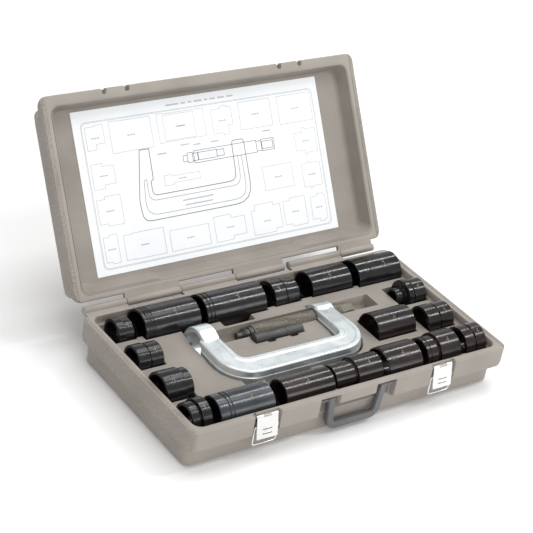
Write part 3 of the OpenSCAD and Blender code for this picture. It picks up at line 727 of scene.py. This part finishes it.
def knuckle(x0, x1, up):
    """A hinge knuckle: a circle about the hinge line with a tongue to the case, carried along X."""
    angle = np.linspace(-math.pi / 2, math.pi / 2, 13)
    nose = np.stack([HINGE_Y + 6.8 * np.cos(angle), BASE_H + up * 6.8 * np.sin(angle)], 1)
    outline = np.concatenate([[(REAR - 7, BASE_H + up * 6.5), (REAR - 7, BASE_H + up * 0.2)],
                              [(HINGE_Y - 6, BASE_H + up * 0.2), (HINGE_Y - 5, BASE_H - up * 5)], nose])
    rows = []
    for x, shrink in ((x0, 0.0), (x0, 0.88), (x0 + 0.8, 1.0), (x1 - 0.8, 1.0), (x1, 0.88), (x1, 0.0)):
        centre = outline.mean(0)
        ring_points = centre + (outline - centre) * shrink
        rows.append(np.column_stack([np.full(len(outline), x), ring_points]))
    return outward(grid_shape(np.array(rows), False, True))


BASE_KNUCKLES = ((-293, -217), (-114, -9), (101, 209))
LID_KNUCKLES = ((-216, -115), (-8, 91), (210, 282))
levels = base_levels()
base_grid = push_front(stack(levels), len(levels) - BASE_INNER_ROWS)
base_shape = outward(grid_shape(base_grid, False, True))
lugs = [(turned(soften([(side * LATCH_X - 8, 2.8), (side * LATCH_X + 8, 2.8), (side * LATCH_X + 8, 1.5),
                        (side * LATCH_X - 8, 1.5)], 0.5), -157, 70, 32), 0) for side in (-1, 1)]
lugs += [(block_shape((side * LATCH_X - 8, -157, 67.4), (side * LATCH_X + 8, -153, 72.6)), 0)
         for side in (-1, 1)]
# A dark pebbled panel on the recess floor behind the handle: pebble texture, and painted shade for the recess's
# shadow.
grip = block_shape((-69, FRONT + HANDLE_DEEP - 0.3, 42), (69, FRONT + HANDLE_DEEP + 1, 56.5))
base_parts = [(base_shape, 0), (grip, 1)] + [(knuckle(a, b, -1), 0) for a, b in BASE_KNUCKLES] + lugs
make_piece("case_base_moulding", base_parts, [case_plastic, pebble_with_painted_shade], "case_body", ["case_base"],
           "case_plastic", 50)

# %% Lid
LID_H = 52.0


def opened(shape):
    """Turns a shape of the closed lid back about the hinge line to where the lid stands at rest."""
    points, faces = shape
    y, z = points[:, 1] - HINGE_Y, points[:, 2] - BASE_H
    cos, sin = math.cos(-LID_TURN), math.sin(-LID_TURN)
    turned_points = np.stack([points[:, 0], HINGE_Y + y * cos - z * sin, BASE_H + y * sin + z * cos], 1)
    return turned_points, faces


def lid_levels():
    """From the middle of the closed lid's top down its outside, over the rim, and up inside."""
    top = BASE_H + LID_H
    levels = [(1, -1, 1, 0.5, top - 0.3), (200, -100, 100, 20, top - 0.3)]
    for inset, drop in bent_edge(13, 0.0, 1.5, 10, 8):
        levels.append((HALF_W - SIDE_IN - inset, FRONT + FRONT_IN + inset, REAR - 3 - inset,
                       22 - inset / 2, top - drop))
    levels.append((HALF_W - SIDE_IN - 0.3, FRONT + FRONT_IN + 0.3, REAR - 3.3, 18, 96))
    for share, z in ((1, 92), (0.93, 91.2), (0.75, 90.6), (0.3, 90.1), (0.1, 89.2), (0.03, 88), (0, 86.4)):
        levels.append((HALF_W - SIDE_IN * share, FRONT + FRONT_IN * share, REAR - 3 * share, 16, z))
    for z in (85, 84, 82, 80):
        levels.append((HALF_W, FRONT, REAR, 14, z))
    for inset, z in bent_edge(0, 77.8, 1.8, BASE_H + 0.05, 5):
        levels.append((HALF_W - inset, FRONT + inset, REAR - inset, 13, z))
    rim = [(4, 4, 3.4, 76.05), (13.8, 14.8, 6.5, 76.05), (15, 16, 7.6, 76.4), (15.8, 16.8, 8.4, 77.4),
           (16, 17, 8.6, 79)]
    for side, front, rear, z in rim:
        levels.append((HALF_W - side, FRONT + front, REAR - rear, 15, z))
    for z in (80, 110, 124):
        levels.append((HALF_W - 10, FRONT + 17.5, REAR - 6, 12, z))
    return levels + [(200, -100, 100, 20, 125.4), (1, -1, 1, 0.5, 125.4)]


def push_notches(points, outer_rows):
    """Cuts the latch notches into the closed lid's front band and leaves the catch standing in each."""
    skin = points[:outer_rows]
    x, y, z = skin[..., 0], skin[..., 1], skin[..., 2]
    beside = np.abs(np.abs(x) - LATCH_X)
    notch = inside(beside, 26 - 1.2) * inside(z, 88, 0.5)
    catch = inside(beside, 16) * inside(z, 84, 0.4)
    floor = FRONT + 9 * notch * (1 - catch)
    skin[..., 1] = np.where(y < 0, np.maximum(y, floor), y)
    return points


lid_rows = lid_levels()
lid_grid = push_notches(stack(lid_rows), len(lid_rows) - LID_INNER_ROWS)
lid_parts = [(opened(outward(grid_shape(lid_grid, False, True))), 0)]
lid_parts += [(opened(knuckle(a, b, 1)), 0) for a, b in LID_KNUCKLES]
for side in (-1, 1):
    lip = block_shape((side * LATCH_X - 15.8, FRONT + 0.3, 80), (side * LATCH_X + 15.8, FRONT + 2, 86))
    lid_parts.append((opened(lip), 0))
make_piece("lid_moulding", lid_parts, [case_plastic], "lid", ["lid_shell"], "case_plastic", 50)


def liner_levels():
    """The lid's recess: from the middle of its panel out, down a drafted wall to the rim, and back behind."""
    panel, depth = BASE_H + 22, 22
    levels = [(1, -1, 1, 0.5, panel), (150, -80, 80, 10, panel), (270, -128, 136, 10, panel)]
    for share in (0, 0.05, 0.15, 0.35, 0.65, 1):
        inset = 9.5 * (1 - share) + 2.5 * (1 - share) ** 4
        levels.append((287.5 - inset * 0.55, FRONT + 17.3 + inset * 0.55, REAR - 9 - inset * 0.9, 14,
                       panel - depth * share + 0.4 * (share == 1)))
    levels += [(288.9, FRONT + 16.2, REAR - 7.8, 15, BASE_H + up) for up in (0.6, 2)]
    for z in (BASE_H + 10, panel + 1.5):
        levels.append((288.6, FRONT + 16.6, REAR - 8, 14, z))
    return levels + [(150, -80, 80, 10, panel + 1.5), (1, -1, 1, 0.5, panel + 1.5)]


def liner_grid():
    """The stack, with its wall beside the hinge drawn in by 4.5 mm past 140 mm from the middle."""
    points = stack(liner_levels())
    wall = points[3:9]
    ends = 1 - inside(np.abs(wall[..., 0] + 7), 140, 5)
    wall[..., 1] -= 4.5 * ends * inside(REAR - 8 - wall[..., 1], 14, 20)
    return points


make_piece("lid_recess_skin", [(opened(outward(grid_shape(liner_grid(), False, True))), 0)],
           [tray_plastic], "lid", ["lid_liner", "lid_panel"], "tray_plastic", 50)

# %% [markdown]
# ## Tray
# The tray is one moulded sheet, so it is drawn as a height over every place: flat at the top, and pushed down
# to the floor of whichever pocket reaches lowest there. Every pocket has a round edge.
# A coarser sheet underneath closes it.

# %% Pocket floors
tray_low, tray_high = (np.array(corner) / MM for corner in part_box("tool_tray"))
POCKET_GAP, POCKET_END, BAR_ROOM = 1.6, 2.6, 2.6
boxes = {name: [np.array(corner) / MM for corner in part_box(name)] for name in ADAPTERS}
ends = sorted({round(corner[0] + side * (POCKET_END + ease), 2) for low, high in boxes.values()
               for corner, side in ((low, -1), (high, 1)) for ease in (0.0, 0.7, 1.4)})
grid_x = np.unique(np.concatenate([np.linspace(tray_low[0] + 0.1, tray_high[0] - 0.1, 320), ends]))
grid_x = grid_x[(grid_x >= tray_low[0] + 0.1) & (grid_x <= tray_high[0] - 0.1)]
grid_y = np.linspace(-149.9, 155.9, 190)
GX, GY = np.meshgrid(grid_x, grid_y, indexing="ij")


def pressed(depth_share):
    """Rounds a straight ramp off at both ends: 3 t^2 - 2 t^3."""
    t = np.clip(depth_share, 0, 1)
    return t * t * (3 - 2 * t)


def trough(x0, x1, y, z, r, ease=1.4):
    """A round-bottomed pocket along X: z - sqrt(r^2 - dy^2) inside, and the tray's top outside."""
    dy = np.abs(GY - y)
    floor = z - np.sqrt(np.maximum(r * r - dy * dy, 0))
    share = pressed(np.minimum(GX - x0, x1 - GX) / ease) * pressed((r - dy) / ease + 0.4 * (dy < r))
    return TRAY_Z + (np.minimum(floor, TRAY_Z) - TRAY_Z) * share


def well(x0, x1, y0, y1, floor, ease=2.0, corner=6.0):
    """A flat-floored pocket with rounded corners, from its distance to the rounded rectangle's edge."""
    cx, cy, hx, hy = (x0 + x1) / 2, (y0 + y1) / 2, (x1 - x0) / 2 - corner, (y1 - y0) / 2 - corner
    dx, dy = np.maximum(np.abs(GX - cx) - hx, 0), np.maximum(np.abs(GY - cy) - hy, 0)
    edge = corner - np.hypot(dx, dy)
    return TRAY_Z + (floor - TRAY_Z) * pressed(edge / ease)


floors = [trough(-289.2, -271, 121, TRAY_Z, 26)]
for low, high in boxes.values():
    y, r = (low[1] + high[1]) / 2, (high[1] - low[1]) / 2
    floors.append(trough(low[0] - POCKET_END, high[0] + POCKET_END, y, TRAY_Z, r + POCKET_GAP))
rows_front = [n for n in ADAPTERS if boxes[n][0][1] < -100]
rows_back = [n for n in ADAPTERS if boxes[n][0][1] > 80]
for row in (rows_front, rows_back):
    row = sorted(row, key=lambda n: boxes[n][0][0])
    for before, after in zip(row, row[1:]):
        x0, x1 = boxes[before][1][0] - 2, boxes[after][0][0] + 2
        y = (boxes[before][0][1] + boxes[before][1][1] + boxes[after][0][1] + boxes[after][1][1]) / 4
        r = min(boxes[n][1][1] - boxes[n][0][1] for n in (before, after)) / 2 * 0.92
        floors.append(trough(x0, x1, y, TRAY_Z, r))

# %% Pocket of the press, the pin's pocket and the sheet
path, _, bar_half = bar_run()
bar_half = bar_half + BAR_ROOM
edge = np.full(GX.shape, -100.0)
for (px, py), half in zip(path, bar_half):
    edge = np.maximum(edge, half - np.hypot(GX - px, GY - py))
edge = np.where(GY > PRESS_Y + 2, -100, edge)
floors += [
    TRAY_Z + (28 - TRAY_Z) * pressed(edge / 2.0),
    trough(RING_X[0] - 2, RING_X[1] + 2, PRESS_Y, PRESS_Z, RING_R + 1.6),
    trough(BOSS_X[0] - 2, BOSS_X[1] + 2, PRESS_Y, PRESS_Z, BOSS_R + 1.6),
    trough(RING_X[1], 191, PRESS_Y, PRESS_Z, SCREW_R + 1.8),
    well(104, 190, PRESS_Y - 17, PRESS_Y + 17, 57),
    well(pin_low[0] - 2, pin_high[0] + 2, pin_y - 10, pin_y + 10, 56, 1.6, 2.5),
    trough(pin_low[0] - 2, pin_high[0] + 2, pin_y, pin_z, 10.4, 1.2),
    well(-6, 10, pin_y - 14, pin_y + 14, 54.5, 1.6, 3),
    well(-50, -34, pin_y - 14, pin_y + 14, 54.5, 1.6, 3),
    well(-150, -130, -92, -62, 42, 1.6, 3),
    well(-116, -29, -92, -62, 42, 1.6, 3),
    well(-6, 64, -90, -62, 42, 1.6, 3),
    well(-92, -32, 74, 104, 42, 1.6, 6),
]
height = np.minimum.reduce(floors)


def sheet(height):
    """The height as a closed sheet: its edge turns down 2 mm to a sheet of every eighth line, 2 mm lower."""
    edged = [np.concatenate([v[:1], v, v[-1:]]) for v in (grid_x, grid_y)]
    top = np.full([len(v) for v in edged], TRAY_Z - 2.0)
    top[1:-1, 1:-1] = height
    upper = np.stack([*np.meshgrid(*edged, indexing="ij"), top], -1)
    lowest = height.copy()
    for step in range(1, 9):
        lowest[step:] = np.minimum(lowest[step:], height[:-step])
        lowest[:-step] = np.minimum(lowest[:-step], height[step:])
    across = lowest.copy()
    for step in range(1, 9):
        lowest[:, step:] = np.minimum(lowest[:, step:], across[:, :-step])
        lowest[:, :-step] = np.minimum(lowest[:, :-step], across[:, step:])
    picks = [np.clip((np.arange(n) + 4) // 8 * 8, 4, n - 5) for n in height.shape]
    for pick in picks:
        pick[0], pick[-1] = 0, len(pick) - 1
    rim = np.zeros(height.shape, bool)
    rim[[0, -1]] = True
    rim[:, [0, -1]] = True
    coarse = np.ix_(picks[0], picks[1])
    z = np.where(rim, TRAY_Z - 2.0, np.minimum(lowest[coarse] - 2, TRAY_Z - 2.0))
    x, y = np.where(rim, GX, GX[coarse]), np.where(rim, GY, GY[coarse])
    points, faces = grid_shape(np.stack([x, y, z], -1))
    return joined(grid_shape(upper), (points, faces[:, ::-1]))


make_piece("tool_tray_sheet", [(sheet(height), 0)], [tray_plastic], "case_body", ["tool_tray"],
           "tray_plastic", 62)

# %% [markdown]
# ## Layout card
# A white card in the lid shows where each piece lies. Its print is thin raised line: one outline for each
# adapter, the press and its screw. Short grey bars stand where the real card has words.

# %% Card and print
CARD_X, CARD_Y, CARD_W, CARD_D = -6.5, -0.5, 480.0, 263.0
CARD_FACE = BASE_H + 21.4
CARD_ITEMS = [
    (-225.7, [(16.7, 280, 243), (16.3, 281.7, 252)]),
    (-181.7, [(12, 284.3, 232.5), (64.7, 283.3, 233.3)]),
    (-92.3, [(11, 284, 236.5), (79, 283.3, 237.3)]),
    (-81, [(58.7, 280.7, 239)]),
    (12.3, [(19.4, 277.7, 237.3), (11.6, 281.7, 234), (9, 279, 249)]),
    (67.3, [(64.4, 282.7, 236.7)]),
    (146.7, [(69.3, 282.7, 235)]),
    (-225.7, [(20, 221, 180.7), (20.7, 216, 186.7)]),
    (-226, [(15, 164, 125), (28.7, 168.3, 121)]),
    (-225.7, [(11.4, 104, 64), (14.3, 107.3, 61)]),
    (-189, [(15.7, 101.7, 61.7), (59.3, 103.3, 61)]),
    (-103.3, [(76, 95, 61)]),
    (-16, [(34.3, 102.7, 60.7), (26.7, 96.7, 66.7)]),
    (60, [(7.7, 100, 59), (37.3, 109.3, 59), (14, 104.3, 64.3)]),
    (126, [(14.7, 105.7, 65.7), (31.6, 110, 61.7)]),
    (184, [(14.3, 104.3, 65.7), (11.7, 108.3, 61), (5, 105.7, 64.3)]),
    (171.7, [(17.6, 216, 185.7), (4.7, 224.3, 176.7), (22, 221, 180.7)]),
    (96, [(60, 169.3, 129.3)]),
    (176.7, [(12.6, 162.7, 122.7), (4.7, 166, 119), (21, 162.7, 122.7)]),
    (-96, [(16.7, 184.3, 167.7), (51.6, 181.7, 170.7)]),
]
PRESS_LINES = [
    ([(-134, 231.7), (-148.5, 150), (-146, 116.7), (67.7, 116.7), (67.7, 216), (65.7, 222.3), (45, 222.3),
      (43.3, 216), (41.7, 156), (-121.7, 156), (-121.7, 179), (-116.7, 182), (-116, 231.7)],
     [0.5, 8, 33, 34, 1, 2, 2, 1, 14, 14, 1, 1, 0.5]),
    ([(-134, 183), (-139.5, 125), (58.7, 125), (58.7, 196), (51.3, 196), (49.5, 148), (-130, 148), (-129, 183)],
     [0.5, 25, 25, 0.5, 0.5, 16, 16, 0.5]),
]
SCREW_LINES = [(-54.3, 8.3, 210.7, 200.7), (-46, 10, 214.3, 198.3), (-36, 10, 212.3, 200), (-33.3, 125, 216, 196),
               (-25, 36.7, 212.3, 200), (11.7, 14, 211.5, 201), (91.7, 10, 214, 197.7), (101.7, 26, 216, 196.7),
               (103, 22, 212.3, 200)]


def outline_of(x, steps):
    """An item's stepped outline: along its upper edges from the left, and back along its lower ones."""
    ends = x + np.concatenate([[0], np.cumsum([step[0] for step in steps])])
    upper = [(end, step[1]) for k, step in enumerate(steps) for end in ends[k : k + 2]]
    lower = [(end, step[2]) for k, step in enumerate(steps) for end in ends[k : k + 2]]
    return np.array(upper + lower[::-1])


def on_card(plan, height):
    """Points given as (x, distance in front of the hinge), at a height in front of the card's face."""
    return np.stack([plan[..., 0], HINGE_Y - plan[..., 1], CARD_FACE - np.broadcast_to(height, plan.shape[:-1])], -1)


def closed_line(corners, cut, width):
    """A printed line round closed corners: each moves out and in along its bisector by half the width."""
    plan = soften(corners, cut)
    keep = np.linalg.norm(plan - np.roll(plan, 1, 0), axis=1) > 1e-3
    plan = plan[keep]
    along = np.roll(plan, -1, 0) - plan
    along = along / np.linalg.norm(along, axis=1)[:, None]
    normal = np.stack([-along[:, 1], along[:, 0]], 1)
    mitre = normal + np.roll(normal, 1, 0)
    mitre = mitre / np.maximum((mitre**2).sum(1), 0.6)[:, None] * width
    rows = [on_card(plan + side * mitre, lift) for side, lift in ((-1, -0.1), (-1, 0.12), (1, 0.12), (1, -0.1))]
    return opened(outward(grid_shape(np.array(rows), True, True)))


def dash(x, d, length, width):
    """A short printed bar."""
    low, high = on_card(np.array([[x - length / 2, d + width / 2], [x + length / 2, d - width / 2]]), 0)
    return opened(block_shape((low[0], low[1], CARD_FACE - 0.12), (high[0], high[1], CARD_FACE + 0.1)))


def card_slab():
    """The card itself: a rounded rectangle 0.6 mm thick."""
    half_w, half_d = CARD_W / 2, CARD_D / 2
    plan = soften([(-half_w, -half_d), (half_w, -half_d), (half_w, half_d), (-half_w, half_d)], 1.5) + [CARD_X, CARD_Y]
    middle = np.broadcast_to([CARD_X, CARD_Y], plan.shape)
    rows = [np.column_stack([p, np.full(len(p), z)]) for p, z in
            ((middle, CARD_FACE), (plan, CARD_FACE), (plan, CARD_FACE + 0.6), (middle, CARD_FACE + 0.6))]
    return opened(outward(grid_shape(np.array(rows), False, True)))


light_lines = [closed_line(outline_of(x, steps), 0.3, 0.8) for x, steps in CARD_ITEMS]
light_lines += [closed_line([(-x0, d0), (x1, d0), (x1, d1), (-x0, d1)], 9, 0.7)
                for x0, x1, d0, d1 in ((232.3, 221.7, 53.3, 288.3), (230.8, 220.2, 54.8, 286.8))]
dark_lines = [closed_line(corners, cut, 1.3 - 0.5 * k) for k, (corners, cut) in enumerate(PRESS_LINES)]
dark_lines += [closed_line(outline_of(x, [(length, top, low)]), 0.3, 1.0) for x, length, top, low in SCREW_LINES]
labels = []
for x, steps in CARD_ITEMS:
    middle = x + sum(step[0] for step in steps) / 2
    labels += [dash(middle + k * 5.2, (steps[0][1] + steps[0][2]) / 2, 4.2, 2.0) for k in (-1, 0, 1)]
title = -72
for word in (26, 10, 9, 17, 8, 12, 15, 14):
    labels.append(dash(title + word / 2, 296, word - 1.5, 2.6))
    title += word + 3.2
labels += [dash(x, d, length, 2.2) for x, d, length in (
    (-38, 139.5, 60), (-38, 131.5, 54), (-93, 220, 17), (-47, 228.7, 17), (-24, 226, 14), (11, 226, 15), (116, 229, 15))]
make_piece("card_with_print", [(card_slab(), 0)] + [(line, 1) for line in light_lines + labels]
           + [(line, 2) for line in dark_lines], [card_paper, print_grey, print_dark], "lid", ["layout_card"],
           "printed_card", 30)

# %% [markdown]
# ## Latches and handle
# Each draw latch is a pressed steel plate with a rolled top edge and two louvres, and a wire bail that hooks
# over the catch of the lid. The handle is a moulded U that hangs from two stub pins.

# %% Latch plates and bails
LATCH_Y, LATCH_Z, PLATE_LEAN = -157.0, 70.0, math.radians(11)
BAIL_HALF, BAIL_L, BAIL_R = 21.0, 32.0, 1.25


def leaned(shape, x):
    """Turns a shape drawn about the latch pin by the plate's lean, and moves it to the pin."""
    points, faces = shape
    cos, sin = math.cos(-PLATE_LEAN), math.sin(-PLATE_LEAN)
    y, z = points[:, 1], points[:, 2]
    return np.stack([points[:, 0] + x, LATCH_Y + y * cos - z * sin, LATCH_Z + y * sin + z * cos], 1), faces


def pressed_plate():
    """The plate's section in Y and Z, a curl over a flat face and a small hem, carried across its width."""
    curl = np.linspace(math.radians(200), math.radians(-20), 16)
    outer = [(2.8 * math.cos(a), 2.8 * math.sin(a)) for a in curl[::-1]]
    section = np.array(outer + [(-2.8, -6), (-2.8, -33), (-3.2, -35.6), (-2.4, -36), (-1.2, -35.2), (-1.2, -30),
                                (-1.2, -3), (-0.4, -2.2), (1.2, -1.6)])
    rows = []
    for x, shrink in ((-19, 0), (-19, 0.86), (-18.4, 1), (18.4, 1), (19, 0.86), (19, 0)):
        middle = np.array([-1.6, -14.0])
        moved = section if shrink == 1 else middle + (section - middle) * [max(shrink, 0.0), 1 if shrink else 0]
        rows.append(np.column_stack([np.full(len(section), float(x)), moved]))
    return outward(grid_shape(np.array(rows), False, True))


def louvre(z, half=7.5):
    """A long low blister: half the width, height and depth of an ellipse that shrinks to its two ends."""
    x = half * np.cos(np.linspace(math.pi, 0, 17))[:, None]
    size = np.sqrt(np.maximum(1 - (x / half) ** 2, 0)) ** 0.6
    angle = np.linspace(0, 2 * math.pi, 16, endpoint=False)[None]
    points = np.stack(np.broadcast_arrays(x, -2.8 + 1.5 * size * np.cos(angle), z + 1.6 * size * np.sin(angle)), -1)
    return outward(grid_shape(points, False, True))


def side_wall(side):
    """The flange at one side of the plate that the wire passes through."""
    x = side * 17.6
    return block_shape((x - 0.75, -2.6, -28), (x + 0.75, 1.7, -3))


def swept_wire(path, radius, segments=14):
    """A round wire along a path: circles across the path in two directions that turn with it."""
    path = np.asarray(path, float)
    along = np.gradient(path, axis=0)
    along = along / np.linalg.norm(along, axis=1)[:, None]
    first = np.broadcast_to([0.0, 1.0, 0.0], along.shape)
    second = np.cross(along, first)
    angle = np.linspace(0, 2 * math.pi, segments, endpoint=False)
    rings = path[:, None] + radius * (np.cos(angle)[None, :, None] * first[:, None]
                                      + np.sin(angle)[None, :, None] * second[:, None])
    middles = np.broadcast_to(path[:, None], rings.shape)
    return outward(grid_shape(np.concatenate([middles[:1], rings, middles[-1:]]), False, True))


def bail_path(x):
    """From one eye out, down a leg, round two corners, up the other leg and back in."""
    corners = [(16, 0), (BAIL_HALF, 0), (BAIL_HALF, -BAIL_L), (-BAIL_HALF, -BAIL_L), (-BAIL_HALF, 0), (-16, 0)]
    plan = soften(corners, [2.0, 2.0, 4.5, 4.5, 2.0, 2.0], False)
    y = LATCH_Y - 16 * math.sin(PLATE_LEAN)
    z = LATCH_Z - 16 * math.cos(PLATE_LEAN)
    return np.stack([plan[:, 0] + x, np.full(len(plan), y), plan[:, 1] + z], 1)


for side, word in ((-1, "left"), (1, "right")):
    parts = [pressed_plate(), louvre(-18.5), louvre(-26), side_wall(-1), side_wall(1)]
    # Under each louvre, a thin dark bar in the nose steel is a painted shadow for the shade the louvre casts.
    painted_louvre_shadows = [block_shape((-8.5, -3.1, z - 0.55), (8.5, -2.7, z + 0.55)) for z in (-20.8, -28.3)]
    make_piece(f"latch_plate_{word}_pressed", [(leaned(part, side * LATCH_X), 0) for part in parts]
               + [(leaned(painted_louvre_shadow, side * LATCH_X), 1) for painted_louvre_shadow in painted_louvre_shadows],
               [bright_steel, nose_steel], f"{word}_latch", [f"latch_plate_{word}"], "bright_steel", 35)
    make_piece(f"latch_bail_{word}_wire", [(swept_wire(bail_path(side * LATCH_X), BAIL_R), 0)],
               [bright_steel], f"{word}_bail", [f"latch_bail_{word}"], "bright_steel", 60)

# %% Carrying handle
handle_low, handle_high = (np.array(corner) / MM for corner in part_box("carry_handle"))
HANDLE_Y, HANDLE_Z = (handle_low[1] + handle_high[1]) / 2, 66.0
handle_half_t = (handle_high[1] - handle_low[1]) / 2


def handle_bar():
    """A rounded rectangular section carried down one arm, along the grip and up the other arm."""
    path, share = rounded_path([(-50, 0), (-44.5, -51.4), (44.5, -51.4), (50, 0)], 12, 2.0)
    along = np.gradient(path, axis=0)
    along = along / np.linalg.norm(along, axis=1)[:, None]
    across = np.stack([-along[:, 1], along[:, 0]], 1)
    half = 5.8 + 0.7 * np.exp(-((share - 0.5) / 0.3) ** 2)
    corners = [(-1, -1), (1, -1), (1, 1), (-1, 1)]
    section = soften(np.array(corners) * [5.8, handle_half_t], 2.6) / [5.8, 1]
    flat = path[:, None] + across[:, None] * (half[:, None] * section[None, :, 0])[..., None]
    points = np.stack([flat[..., 0], HANDLE_Y + np.broadcast_to(section[:, 1], flat.shape[:2]),
                       HANDLE_Z + flat[..., 1]], -1)
    middle = np.broadcast_to(points.mean(1, keepdims=True), points.shape)
    return outward(grid_shape(np.concatenate([middle[:1], points, middle[-1:]]), False, True))


def handle_eye(side):
    """The round end of an arm, and the stub pin that it hangs from."""
    left, right = side * 50 - 5.9, side * 50 + 5.9
    profile = [(left, 0.01), (left, handle_half_t), (right, handle_half_t), (right, 0.01)]
    eye = turned(soften(profile, 1.2, False), HANDLE_Y, HANDLE_Z, 40, False)
    stub = turned([(side * 66.5 - 11.5, 0.01), (side * 66.5 - 11.5, 2.9), (side * 66.5 + 11.4, 2.9),
                   (side * 66.5 + 11.4, 0.01)], HANDLE_Y, HANDLE_Z, 32, False)
    return joined(eye, stub)


make_piece("carry_handle_moulded", [(handle_bar(), 0), (handle_eye(-1), 0), (handle_eye(1), 0)],
           [handle_plastic], "handle", ["carry_handle"], "handle_plastic", 50)

# %% [markdown]
# ## Small CAD pieces
# The hinge pins, the latch pins, the ball, the retaining ring and the ring's set screw keep their CAD solids.

# %% Finishes of the small pieces
for name in ("hinge_pin_left", "hinge_pin_right", "latch_pin_left", "latch_pin_right", "thrust_ball",
             "nose_retaining_ring", "ring_set_screw"):
    node = bpy.data.objects[name]
    node.data.materials.clear()
    node.data.materials.append(nose_steel if name in ("ring_set_screw", "nose_retaining_ring") else bright_steel)
    print(name, "finished")

# %% Size and finish
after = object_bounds()
{"cad": cad_box, "visual": [[float(v) for v in corner] for corner in after]}
print("visual box:", [[round(float(v), 4) for v in corner] for corner in after])
